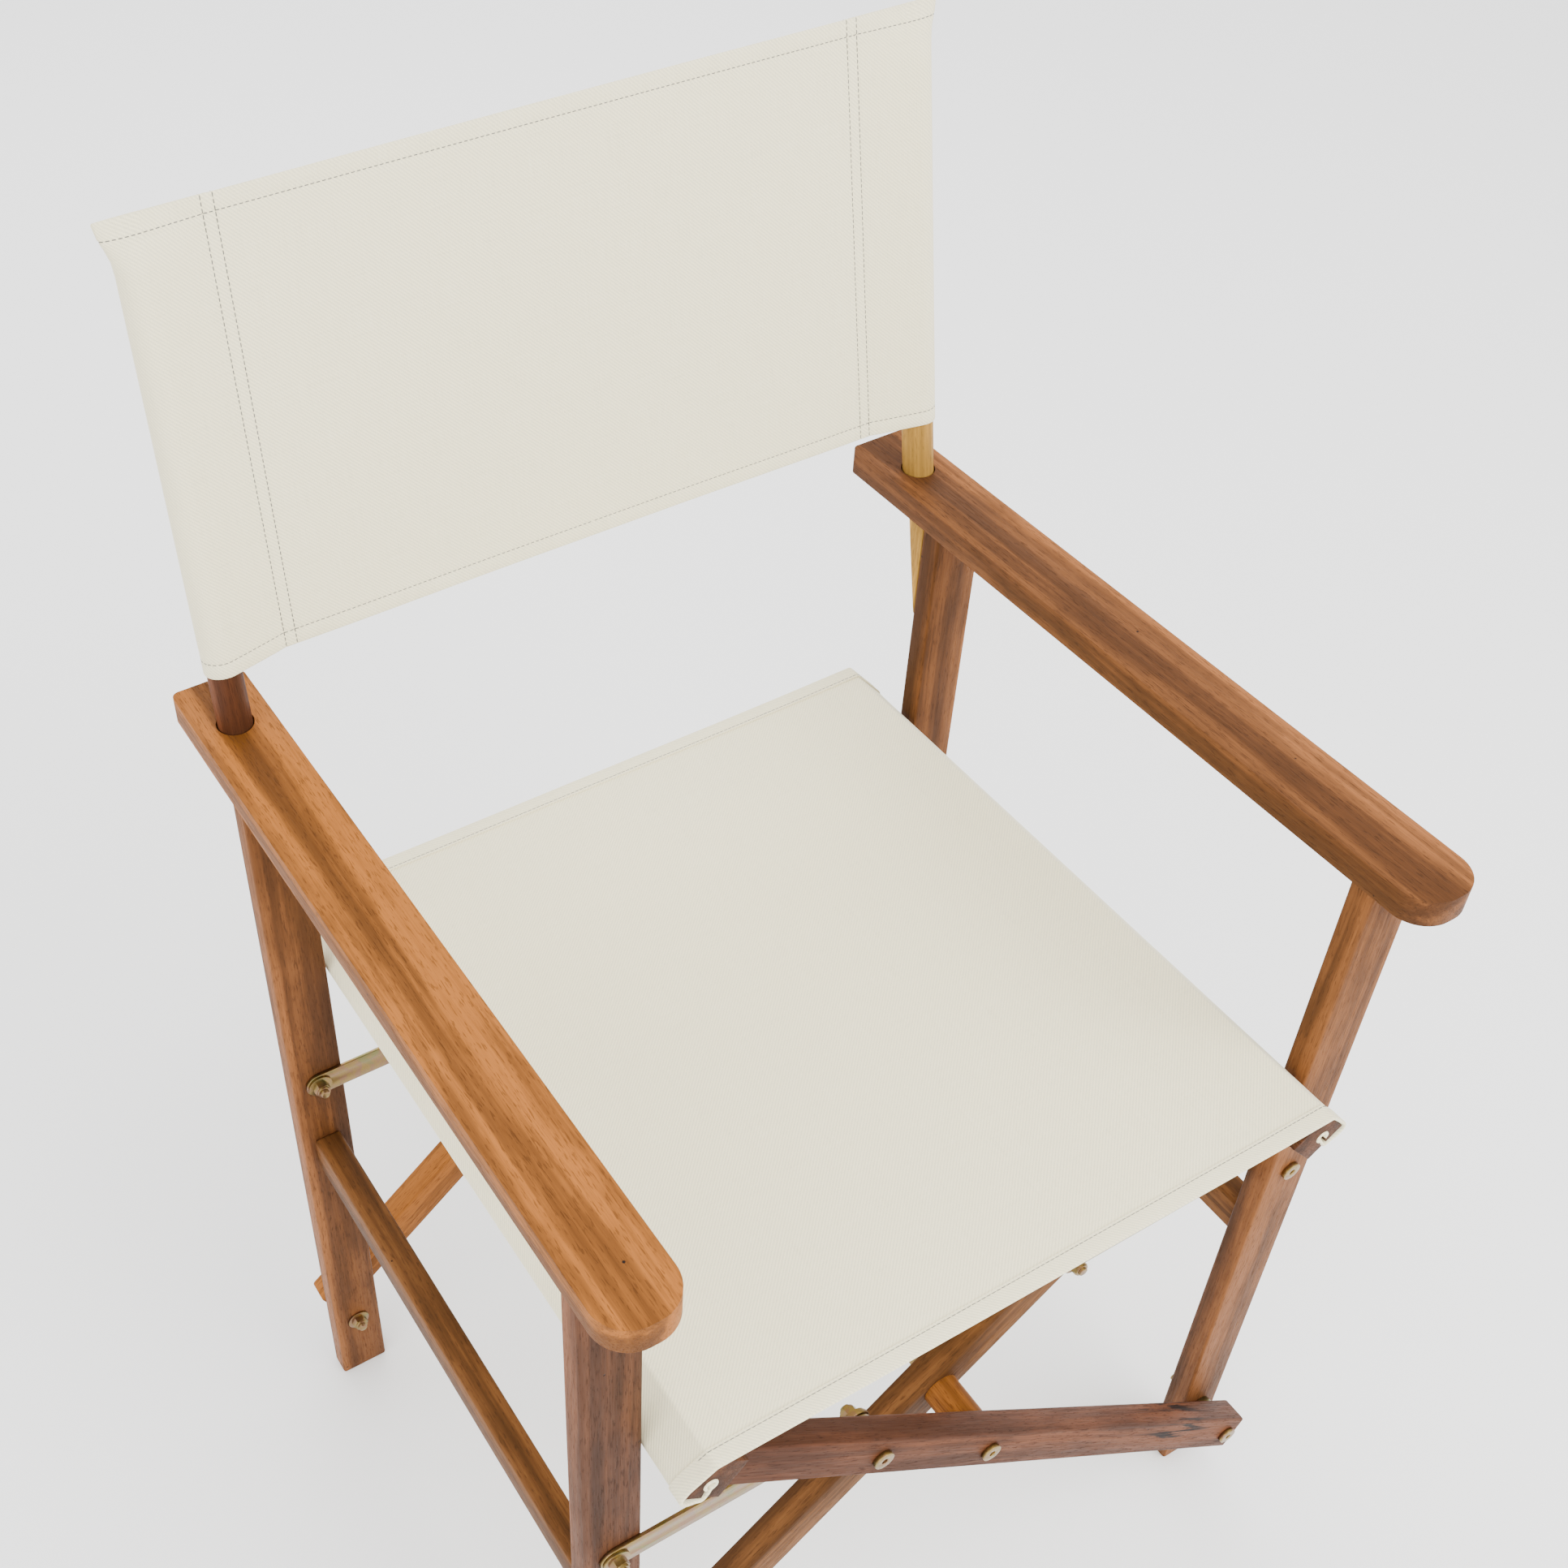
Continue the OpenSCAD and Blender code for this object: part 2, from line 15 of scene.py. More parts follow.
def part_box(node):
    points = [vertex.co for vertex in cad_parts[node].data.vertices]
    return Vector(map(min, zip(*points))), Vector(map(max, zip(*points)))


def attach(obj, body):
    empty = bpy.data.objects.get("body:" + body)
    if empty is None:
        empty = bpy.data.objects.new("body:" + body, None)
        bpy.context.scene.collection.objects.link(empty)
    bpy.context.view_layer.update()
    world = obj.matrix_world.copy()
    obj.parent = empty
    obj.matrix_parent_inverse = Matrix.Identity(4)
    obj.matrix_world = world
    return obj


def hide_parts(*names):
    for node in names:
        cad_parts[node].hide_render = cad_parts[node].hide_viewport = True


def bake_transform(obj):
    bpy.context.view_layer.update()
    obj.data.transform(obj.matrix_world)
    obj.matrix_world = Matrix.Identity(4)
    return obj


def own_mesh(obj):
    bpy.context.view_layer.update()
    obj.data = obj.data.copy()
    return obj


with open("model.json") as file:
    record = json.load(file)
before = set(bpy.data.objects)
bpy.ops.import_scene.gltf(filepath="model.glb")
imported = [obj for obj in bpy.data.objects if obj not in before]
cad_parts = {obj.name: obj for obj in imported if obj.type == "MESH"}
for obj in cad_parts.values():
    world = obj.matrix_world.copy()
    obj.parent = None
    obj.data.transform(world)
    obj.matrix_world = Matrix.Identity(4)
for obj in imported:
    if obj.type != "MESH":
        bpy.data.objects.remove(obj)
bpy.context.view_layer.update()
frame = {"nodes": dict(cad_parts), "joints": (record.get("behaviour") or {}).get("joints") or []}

Colour = tuple[float, float, float]
Point = tuple[float, float]
MM = 0.001
log = logging.getLogger("chair")


# ---------------------------------------------------------------- node trees


class Graph:
    """Adds nodes to one shader tree and links them."""

    def __init__(self, tree: bpy.types.NodeTree) -> None:
        """Takes the tree and clears it.

        Args:
            tree: the material's or the group's node tree.
        """
        self.tree = tree
        tree.nodes.clear()

    def add(self, kind: str, **settings: object) -> bpy.types.Node:
        """Adds a node.

        Args:
            kind: the node's type name, without the ShaderNode prefix.
            settings: attributes of the node.

        Returns:
            The new node.
        """
        node = self.tree.nodes.new(kind if kind.startswith("Node") else "ShaderNode" + kind)
        for name, value in settings.items():
            setattr(node, name, value)
        return node

    def feed(self, socket: bpy.types.NodeSocket, value: object) -> None:
        """Links a socket to another, or sets its value.

        Args:
            socket: the input.
            value: an output socket, a number, or a colour.
        """
        if isinstance(value, bpy.types.NodeSocket):
            self.tree.links.new(value, socket)
        elif isinstance(value, tuple) and socket.type == "RGBA":
            socket.default_value = (*value, 1.0)
        else:
            socket.default_value = value

    def math(self, operation: str, a: object, b: object = 0.0, clamp: bool = False) -> bpy.types.NodeSocket:
        """Adds a Math node.

        Args:
            operation: the node's operation.
            a: the first input.
            b: the second input.
            clamp: whether the result is kept between 0 and 1.

        Returns:
            Its output.
        """
        node = self.add("Math", operation=operation, use_clamp=clamp)
        self.feed(node.inputs[0], a)
        self.feed(node.inputs[1], b)
        return node.outputs[0]

    def vector(self, operation: str, a: object, b: object) -> bpy.types.NodeSocket:
        """Adds a Vector Math node.

        Args:
            operation: the node's operation.
            a: the first input.
            b: the second input.

        Returns:
            Its vector output.
        """
        node = self.add("VectorMath", operation=operation)
        self.feed(node.inputs[0], a)
        self.feed(node.inputs[1], b)
        return node.outputs[0]

    def mix(self, factor: object, a: object, b: object, blend: str = "MIX") -> bpy.types.NodeSocket:
        """Mixes two colours.

        Args:
            factor: share of the second colour.
            a: the first colour.
            b: the second colour.
            blend: the mixing mode.

        Returns:
            The mixed colour.
        """
        node = self.add("Mix", data_type="RGBA", blend_type=blend, clamp_factor=True)
        self.feed(node.inputs["Factor"], factor)
        self.feed(node.inputs[6], a)
        self.feed(node.inputs[7], b)
        return node.outputs[2]

    def noise(self, vector: object, scale: float, detail: float = 3.0, rough: float = 0.55,
              distortion: float = 0.0) -> bpy.types.NodeSocket:
        """Adds a Noise texture.

        Args:
            vector: where it is read.
            scale: features per metre.
            detail: octaves.
            rough: share of each next octave.
            distortion: how much it is warped.

        Returns:
            Its value.
        """
        node = self.add("TexNoise")
        self.feed(node.inputs["Vector"], vector)
        node.inputs["Scale"].default_value = scale
        node.inputs["Detail"].default_value = detail
        node.inputs["Roughness"].default_value = rough
        node.inputs["Distortion"].default_value = distortion
        return node.outputs[0]

    def span(self, value: object, low: float, high: float, to_low: float = 0.0,
             to_high: float = 1.0) -> bpy.types.NodeSocket:
        """Maps one range smoothly to another.

        Args:
            value: the input.
            low: the input that gives to_low.
            high: the input that gives to_high.
            to_low: the result at low.
            to_high: the result at high.

        Returns:
            The mapped value.
        """
        node = self.add("MapRange", interpolation_type="SMOOTHSTEP")
        self.feed(node.inputs["Value"], value)
        node.inputs["From Min"].default_value = low
        node.inputs["From Max"].default_value = high
        node.inputs["To Min"].default_value = to_low
        node.inputs["To Max"].default_value = to_high
        return node.outputs[0]

    def group(self, tree: bpy.types.NodeTree, **inputs: object) -> bpy.types.Node:
        """Adds a node group.

        Args:
            tree: the group's tree.
            inputs: socket names, each with what feeds it.

        Returns:
            The node.
        """
        node = self.add("Group", node_tree=tree)
        for label, value in inputs.items():
            self.feed(node.inputs[label], value)
        return node

    def bump(self, shader: bpy.types.Node, height: bpy.types.NodeSocket, strength: float, distance: float) -> None:
        """Gives a shader its relief.

        Args:
            shader: the shader.
            height: the relief's height.
            strength: the share of it that shows.
            distance: its depth in metres.
        """
        relief = self.add("Bump")
        relief.inputs["Strength"].default_value = strength
        relief.inputs["Distance"].default_value = distance
        self.feed(relief.inputs["Height"], height)
        self.feed(shader.inputs["Normal"], relief.outputs[0])

    def finish(self, shader: bpy.types.Node) -> None:
        """Links the shader to the material's output."""
        self.feed(self.add("OutputMaterial").inputs[0], shader.outputs[0])


def new_material(name: str) -> tuple[bpy.types.Material, Graph]:
    """Makes an empty material.

    Args:
        name: its name.

    Returns:
        The material and its tree's helper.
    """
    made = bpy.data.materials.new(name)
    made.use_nodes = True
    return made, Graph(made.node_tree)


def new_group(name: str, inputs: dict[str, tuple[str, object]], outputs: dict[str, str]) -> tuple[
        bpy.types.NodeTree, Graph, bpy.types.Node, bpy.types.Node]:
    """Starts a shader node group.

    Args:
        name: its name.
        inputs: socket name to kind and default value.
        outputs: socket name to kind.

    Returns:
        The tree, its graph, its input node and its output node.
    """
    tree = bpy.data.node_groups.new(name, "ShaderNodeTree")
    for label, (kind, value) in inputs.items():
        socket = tree.interface.new_socket(name=label, in_out="INPUT", socket_type="NodeSocket" + kind)
        if value is not None:
            socket.default_value = (*value, 1.0) if kind == "Color" else value
    for label, kind in outputs.items():
        tree.interface.new_socket(name=label, in_out="OUTPUT", socket_type="NodeSocket" + kind)
    graph = Graph(tree)
    return tree, graph, graph.add("NodeGroupInput"), graph.add("NodeGroupOutput")


def build_grain_group() -> bpy.types.NodeTree:
    """Builds oiled timber: soft bands, fine lines, pores and pinholes, with the grain along Z.

    Returns:
        The node group.
    """
    tree, g, source, sink = new_group(
        "oiled_grain",
        {"Vector": ("Vector", None), "Dark": ("Color", (0.1, 0.04, 0.02)), "Mid": ("Color", (0.3, 0.15, 0.05)),
         "Light": ("Color", (0.5, 0.3, 0.1)), "Figure": ("Float", 0.5), "Pores": ("Float", 0.5),
         "Streak": ("Float", 0.5)},
        {"Colour": "Color", "Roughness": "Float", "Height": "Float"},
    )
    place = source.outputs["Vector"]
    warp_node = g.add("TexNoise")
    g.feed(warp_node.inputs["Vector"], g.vector("MULTIPLY", place, (12.0, 12.0, 3.0)))
    warp_node.inputs["Scale"].default_value = 1.0
    warp_node.inputs["Detail"].default_value = 2.0
    warp = g.vector("MULTIPLY", g.vector("SUBTRACT", warp_node.outputs[1], (0.5, 0.5, 0.5)), (0.018, 0.018, 0.0))
    bent = g.vector("ADD", place, warp)

    def texture(base: bpy.types.NodeSocket, across: float, along: float, detail: float = 3.0) -> bpy.types.NodeSocket:
        """Reads noise drawn out along the grain."""
        return g.noise(g.vector("MULTIPLY", base, (across, across, along)), 1.0, detail)

    broad = texture(bent, 48.0, 1.3)
    lines = texture(bent, 260.0, 4.0)
    fibre = texture(place, 1300.0, 40.0, 2.0)
    pores = texture(place, 1150.0, 125.0, 2.0)
    mottle = texture(place, 45.0, 22.0, 3.0)
    tone = g.math("ADD", broad, g.math("MULTIPLY", g.math("SUBTRACT", lines, 0.5), 0.42))
    tone = g.math("ADD", tone, g.math("MULTIPLY", g.math("SUBTRACT", mottle, 0.5), 0.30))
    body = g.mix(g.span(tone, 0.46, 0.62), source.outputs["Mid"], source.outputs["Light"])
    shade = g.math("MULTIPLY", g.span(tone, 0.50, 0.34), source.outputs["Figure"], clamp=True)
    body = g.mix(shade, body, source.outputs["Dark"])
    streak = texture(bent, 120.0, 1.8)
    streak_mask = g.math("MULTIPLY", g.span(streak, 0.57, 0.72), source.outputs["Streak"], clamp=True)
    body = g.mix(streak_mask, body, source.outputs["Dark"])
    body = g.mix(g.span(fibre, 0.40, 0.68, 0.0, 0.22), body, source.outputs["Dark"])
    pore_mask = g.math("MULTIPLY", g.span(pores, 0.56, 0.66), source.outputs["Pores"], clamp=True)
    body = g.mix(pore_mask, body, g.mix(0.35, source.outputs["Dark"], (0.01, 0.006, 0.004)))
    pin = g.add("TexVoronoi")
    g.feed(pin.inputs["Vector"], place)
    pin.inputs["Scale"].default_value = 42.0
    pinhole = g.span(pin.outputs["Distance"], 0.045, 0.025)
    body = g.mix(pinhole, body, (0.012, 0.007, 0.005))
    rough = g.math("ADD", g.span(fibre, 0.3, 0.7, 0.0, 0.12), g.math("MULTIPLY", pore_mask, 0.2))
    height = g.math("SUBTRACT", g.math("MULTIPLY", fibre, 0.4), g.math("MAXIMUM", pore_mask, pinhole))
    g.feed(sink.inputs["Colour"], body)
    g.feed(sink.inputs["Roughness"], rough)
    g.feed(sink.inputs["Height"], height)
    return tree


def build_flaw_group() -> bpy.types.NodeTree:
    """Builds a natural flaw at one place: dark wandering cracks, with a warm patch beside them.

    Returns:
        The node group.
    """
    tree, g, source, sink = new_group(
        "timber_flaw",
        {"Vector": ("Vector", None), "Centre": ("Vector", None), "Reach": ("Vector", None),
         "Across": ("Float", 150.0), "Along": ("Float", 9.0), "Base": ("Color", (0.3, 0.15, 0.05)),
         "Crack": ("Color", (0.02, 0.015, 0.015)), "Patch": ("Color", (0.4, 0.15, 0.04))},
        {"Colour": "Color"},
    )
    place = source.outputs["Vector"]
    away = g.add("VectorMath", operation="LENGTH")
    g.feed(away.inputs[0], g.vector("DIVIDE", g.vector("SUBTRACT", place, source.outputs["Centre"]),
                                    source.outputs["Reach"]))
    near = g.span(away.outputs["Value"], 1.0, 0.35)
    stretch = g.add("CombineXYZ")
    for socket, value in zip(stretch.inputs, ("Across", "Across", "Along")):
        g.feed(socket, source.outputs[value])
    wander = g.noise(g.vector("MULTIPLY", place, stretch.outputs[0]), 1.0, 4.0, 0.6, 1.2)
    crack = g.math("MULTIPLY", g.span(wander, 0.50, 0.60), near, clamp=True)
    patch = g.math("MULTIPLY", g.span(wander, 0.46, 0.36), near, clamp=True)
    body = g.mix(patch, source.outputs["Base"], source.outputs["Patch"])
    g.feed(sink.inputs["Colour"], g.mix(crack, body, source.outputs["Crack"]))
    return tree


def build_speckle_group() -> bpy.types.NodeTree:
    """Builds small wear marks and a slow mottle, for metal and plastic.

    Returns:
        The node group.
    """
    tree, g, source, sink = new_group(
        "speckle", {"Vector": ("Vector", None), "Amount": ("Float", 0.5)},
        {"Slow": "Float", "Marks": "Float", "Height": "Float"},
    )
    place = source.outputs["Vector"]
    slow = g.noise(place, 160.0, 2.0, 0.5, 0.6)
    marks = g.noise(g.vector("MULTIPLY", place, (1.0, 2.3, 1.6)), 900.0, 3.0, 0.6)
    mask = g.math("MULTIPLY", g.span(marks, 0.58, 0.7), source.outputs["Amount"], clamp=True)
    g.feed(sink.inputs["Slow"], slow)
    g.feed(sink.inputs["Marks"], mask)
    g.feed(sink.inputs["Height"], marks)
    return tree


def build_weave_group() -> bpy.types.NodeTree:
    """Builds a fine twill: diagonal ribs crossed by the weft, with slubs. It reads a UV map in metres.

    Returns:
        The node group.
    """
    tree, g, source, sink = new_group(
        "twill_weave", {"Vector": ("Vector", None), "Pitch": ("Float", 0.0009)},
        {"Rib": "Float", "Slub": "Float", "Height": "Float"},
    )
    split = g.add("SeparateXYZ")
    g.feed(split.inputs[0], source.outputs["Vector"])
    along, across = split.outputs[0], split.outputs[1]
    wander = g.noise(source.outputs["Vector"], 60.0, 2.0)
    wobble = g.math("MULTIPLY", g.math("SUBTRACT", wander, 0.5), 1.5)
    turns = 2 * math.pi
    per_pitch = g.math("DIVIDE", turns, source.outputs["Pitch"])
    slanted = g.math("MULTIPLY", g.math("ADD", along, across), math.sqrt(0.5))
    diagonal = g.math("ADD", g.math("MULTIPLY", slanted, per_pitch), wobble)
    rib = g.math("ADD", g.math("MULTIPLY", g.math("SINE", diagonal), 0.5), 0.5)
    crossing = g.math("SINE", g.math("MULTIPLY", along, g.math("MULTIPLY", per_pitch, 2.1)))
    height = g.math("ADD", g.math("MULTIPLY", rib, 0.75), g.math("MULTIPLY", g.math("ADD", crossing, 1.0), 0.125))
    warp_slub = g.noise(g.vector("MULTIPLY", source.outputs["Vector"], (1400.0, 35.0, 1.0)), 1.0, 2.0)
    weft_slub = g.noise(g.vector("MULTIPLY", source.outputs["Vector"], (35.0, 1400.0, 1.0)), 1.0, 2.0)
    slub = g.math("MULTIPLY", g.math("ADD", warp_slub, weft_slub), 0.5)
    g.feed(sink.inputs["Rib"], rib)
    g.feed(sink.inputs["Slub"], slub)
    g.feed(sink.inputs["Height"], height)
    return tree


GRAIN_GROUP = build_grain_group()
FLAW_GROUP = build_flaw_group()
SPECKLE_GROUP = build_speckle_group()
WEAVE_GROUP = build_weave_group()


# ---------------------------------------------------------------- finishes


class Grain(Enum):
    """Which way a timber's grain runs, as a turn that brings it to Z."""

    UP = (0.0, 0.0, 0.0)
    FRONT_TO_BACK = (90.0, 0.0, 0.0)
    RISING_RIGHT = (0.0, -49.7, 0.0)
    RISING_LEFT = (0.0, 49.7, 0.0)
    RAKED = (9.5, 0.0, 0.0)


class Tone(Enum):
    """The boards' own tones, from pale sapwood to brown heartwood."""

    SAPWOOD = (0.34, 0.18, 0.035)
    HONEY = (0.19, 0.065, 0.012)
    OLIVE = (0.10, 0.040, 0.012)
    CHESTNUT = (0.09, 0.033, 0.010)
    RUSSET = (0.075, 0.025, 0.010)
    COCOA = (0.055, 0.020, 0.008)


def place_in(node: str, shares: Sequence[float]) -> Vector:
    """Finds a place in a CAD node's box.

    Args:
        node: the CAD node.
        shares: how far along the box the place is in X, Y and Z, from 0 to 1.

    Returns:
        The place.
    """
    low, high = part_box(node)
    return Vector([a + (b - a) * share for a, b, share in zip(low, high, shares)])


@dataclass(frozen=True)
class Flaw:
    """A crack or a knot: where it is in its node's box, how far it reaches, and how it is drawn out."""

    node: str
    shares: tuple[float, float, float]
    reach: tuple[float, float, float]
    across: float = 150.0
    along: float = 9.0


@dataclass(frozen=True)
class Band:
    """A darker or lighter band along a board: its place across the node's box, half its width, its gain."""

    node: str
    axis: int
    share: float
    half: float
    gain: float


@dataclass(frozen=True)
class WoodFinish:
    """Oiled hardwood in one board's own tone."""

    name: str
    tone: Tone
    figure: float = 0.6
    pores: float = 0.55
    streak: float = 0.5
    seed: float = 0.0
    flaw: Optional[Flaw] = None
    band: Optional[Band] = None
    dark_share: float = 0.4
    light_share: float = 1.7

    def shade(self, share: float) -> Colour:
        """Gives the board's tone made darker or lighter by a share."""
        return tuple(share * part for part in self.tone.value)

    def material(self, grain: Grain) -> bpy.types.Material:
        """Makes the material.

        Args:
            grain: which way the grain runs on the piece.

        Returns:
            The material.
        """
        made, g = new_material(self.name)
        place = g.add("TexCoord")
        turn = g.add("Mapping", vector_type="POINT")
        g.feed(turn.inputs["Vector"], place.outputs["Object"])
        turn.inputs["Rotation"].default_value = tuple(math.radians(a) for a in grain.value)
        turn.inputs["Location"].default_value = (self.seed * 0.31, self.seed * 0.17, self.seed * 1.3)
        group = g.group(GRAIN_GROUP, Vector=turn.outputs[0], Dark=self.shade(self.dark_share), Mid=self.tone.value,
                        Light=self.shade(self.light_share), Figure=self.figure, Pores=self.pores, Streak=self.streak)
        shader = g.add("BsdfPrincipled")
        shader.inputs["IOR"].default_value = 1.45
        shader.inputs["Specular IOR Level"].default_value = 0.10
        colour = group.outputs["Colour"]
        if self.band:
            band = self.band
            middle = place_in(band.node, (band.share,) * 3)[band.axis]
            split = g.add("SeparateXYZ")
            g.feed(split.inputs[0], place.outputs["Object"])
            wander = g.noise(g.vector("MULTIPLY", turn.outputs[0], (30.0, 30.0, 4.0)), 1.0, 3.0)
            shift = g.math("MULTIPLY", g.math("SUBTRACT", wander, 0.5), 1.4 * band.half)
            away = g.math("ABSOLUTE", g.math("SUBTRACT", g.math("ADD", split.outputs[band.axis], shift), middle))
            mask = g.span(away, band.half * 1.25, band.half * 0.55, 0.0, 0.8)
            colour = g.mix(mask, colour, g.mix(1.0, colour, (band.gain,) * 3, "MULTIPLY"))
        if self.flaw:
            unturned = g.add("Mapping", vector_type="POINT")
            g.feed(unturned.inputs["Vector"], place.outputs["Object"])
            angles = tuple(math.radians(a) for a in grain.value)
            unturned.inputs["Rotation"].default_value = angles
            centre = Euler(angles, "XYZ").to_matrix() @ place_in(self.flaw.node, self.flaw.shares)
            mark = g.group(FLAW_GROUP, Vector=unturned.outputs[0], Centre=centre, Reach=self.flaw.reach,
                           Across=self.flaw.across, Along=self.flaw.along, Base=colour, Crack=self.shade(0.1),
                           Patch=self.shade(1.6))
            colour = mark.outputs[0]
        g.feed(shader.inputs["Base Color"], colour)
        g.feed(shader.inputs["Roughness"], g.math("ADD", group.outputs["Roughness"], 0.50))
        g.bump(shader, group.outputs["Height"], 0.4, 0.3 * MM)
        g.finish(shader)
        return made


@dataclass(frozen=True)
class ZincFinish:
    """Steel with a yellow passivated zinc coat, which shades from gold to pink and green."""

    name: str = "yellow_zinc"
    gold: Colour = (0.25, 0.17, 0.06)
    pink: Colour = (0.24, 0.14, 0.08)
    green: Colour = (0.19, 0.17, 0.07)
    base_rough: float = 0.30

    def material(self) -> bpy.types.Material:
        """Makes the material.

        Returns:
            The material.
        """
        made, g = new_material(self.name)
        place = g.add("TexCoord").outputs["Object"]
        group = g.group(SPECKLE_GROUP, Vector=place, Amount=0.7)
        tint = g.mix(g.span(group.outputs["Slow"], 0.42, 0.62), self.gold, self.pink)
        tint = g.mix(g.span(g.noise(place, 75.0, 2.0, 0.5, 1.0), 0.52, 0.66), tint, self.green)
        tint = g.mix(group.outputs["Marks"], tint, (0.10, 0.07, 0.04))
        shader = g.add("BsdfPrincipled")
        shader.inputs["Metallic"].default_value = 1.0
        g.feed(shader.inputs["Base Color"], tint)
        rough = g.math("ADD", g.math("MULTIPLY", group.outputs["Marks"], 0.3), self.base_rough)
        g.feed(shader.inputs["Roughness"], rough)
        g.bump(shader, group.outputs["Height"], 0.15, 0.1 * MM)
        g.finish(shader)
        return made


@dataclass(frozen=True)
class PlasticFinish:
    """Plain white plastic with a slight haze."""

    name: str = "white_rod"
    colour: Colour = (0.78, 0.78, 0.75)

    def material(self) -> bpy.types.Material:
        """Makes the material.

        Returns:
            The material.
        """
        made, g = new_material(self.name)
        group = g.group(SPECKLE_GROUP, Vector=g.add("TexCoord").outputs["Object"], Amount=0.3)
        shader = g.add("BsdfPrincipled")
        g.feed(shader.inputs["Base Color"], g.mix(group.outputs["Marks"], self.colour, (0.6, 0.6, 0.57)))
        g.feed(shader.inputs["Roughness"], g.math("ADD", g.math("MULTIPLY", group.outputs["Slow"], 0.2), 0.35))
        g.finish(shader)
        return made


@dataclass(frozen=True)
class CanvasFinish:
    """Ecru cotton twill, with painted shade in the weave's hollows. It reads the cloth's own UV map, in metres."""

    name: str = "ecru_canvas"
    cloth: Colour = (0.91, 0.83, 0.55)
    valley_shade_and_slub: Colour = (0.52, 0.48, 0.34)
    pitch: float = 0.0017

    def material(self) -> bpy.types.Material:
        """Makes the material.

        Returns:
            The material.
        """
        made, g = new_material(self.name)
        uv = g.add("UVMap", uv_map="cloth").outputs[0]
        group = g.group(WEAVE_GROUP, Vector=uv, Pitch=self.pitch)
        # Painted shade: the weave's low places are tinted towards the valley colour, as if shaded in the hollows
        # between the ribs.
        tint = g.mix(g.math("MULTIPLY", g.math("SUBTRACT", 1.0, group.outputs["Height"]), 0.55, clamp=True),
                     self.cloth, self.valley_shade_and_slub)
        # The same valley colour also tints the thicker slubs, which is the yarn's own tone.
        tint = g.mix(g.span(group.outputs["Slub"], 0.52, 0.68, 0.0, 0.30), tint, self.valley_shade_and_slub)
        tint = g.mix(g.span(group.outputs["Slub"], 0.46, 0.34, 0.0, 0.25), tint, (0.95, 0.90, 0.70))
        slow = g.noise(uv, 9.0, 2.0, 0.5)
        tint = g.mix(g.span(slow, 0.35, 0.7, 0.0, 0.08), tint, (0.72, 0.67, 0.49))
        shader = g.add("BsdfPrincipled")
        shader.inputs["Roughness"].default_value = 0.88
        shader.inputs["Specular IOR Level"].default_value = 0.25
        shader.inputs["Sheen Weight"].default_value = 0.18
        shader.inputs["Sheen Roughness"].default_value = 0.5
        g.feed(shader.inputs["Base Color"], tint)
        g.bump(shader, group.outputs["Height"], 0.5, 0.25 * MM)
        g.finish(shader)
        return made


@dataclass(frozen=True)
class ThreadFinish:
    """Twisted sewing thread, drawn dark grey and far darker than the canvas, so that the seams show as dark dotted
    lines.
    """

    name: str = "thread"
    colour: Colour = (0.10, 0.097, 0.09)

    def material(self) -> bpy.types.Material:
        """Makes the material.

        Returns:
            The material.
        """
        made, g = new_material(self.name)
        place = g.add("TexCoord").outputs["Object"]
        fuzz = g.noise(place, 2500.0, 2.0)
        shader = g.add("BsdfPrincipled")
        g.feed(shader.inputs["Base Color"], g.mix(g.span(fuzz, 0.4, 0.65), self.colour, (0.17, 0.165, 0.15)))
        shader.inputs["Roughness"].default_value = 0.8
        g.finish(shader)
        return made


# ---------------------------------------------------------------- mesh helpers


def deselect() -> None:
    """Leaves object mode with nothing selected."""
    if bpy.context.mode != "OBJECT":
        bpy.ops.object.mode_set(mode="OBJECT")
    bpy.ops.object.select_all(action="DESELECT")


def select_only(piece: bpy.types.Object) -> None:
    """Selects one object and makes it active.

    Args:
        piece: the object.
    """
    deselect()
    piece.select_set(True)
    bpy.context.view_layer.objects.active = piece


def apply_modifier(piece: bpy.types.Object, kind: str, **settings: object) -> None:
    """Adds a modifier and applies it.

    Args:
        piece: the object.
        kind: the modifier's type.
        settings: its settings.
    """
    select_only(piece)
    modifier = piece.modifiers.new(kind.lower(), kind)
    for name, value in settings.items():
        setattr(modifier, name, value)
    bpy.ops.object.modifier_apply(modifier=modifier.name)


def smooth(piece: bpy.types.Object, degrees: float = 40.0) -> None:
    """Shades a piece smooth except at its sharp edges.

    Args:
        piece: the object.
        degrees: the angle from which an edge stays sharp.
    """
    select_only(piece)
    bpy.ops.object.shade_smooth_by_angle(angle=math.radians(degrees))


def dress(piece: bpy.types.Object, material: bpy.types.Material) -> None:
    """Gives a piece one material.

    Args:
        piece: the object.
        material: its finish.
    """
    piece.data.materials.clear()
    piece.data.materials.append(material)
    for face in piece.data.polygons:
        face.material_index = 0


def new_piece(name: str, work: bmesh.types.BMesh) -> bpy.types.Object:
    """Makes an object from worked faces, and frees them.

    Args:
        name: its name.
        work: the faces.

    Returns:
        The new object.
    """
    mesh = bpy.data.meshes.new(name)
    work.to_mesh(mesh)
    work.free()
    piece = bpy.data.objects.new(name, mesh)
    bpy.context.scene.collection.objects.link(piece)
    return piece


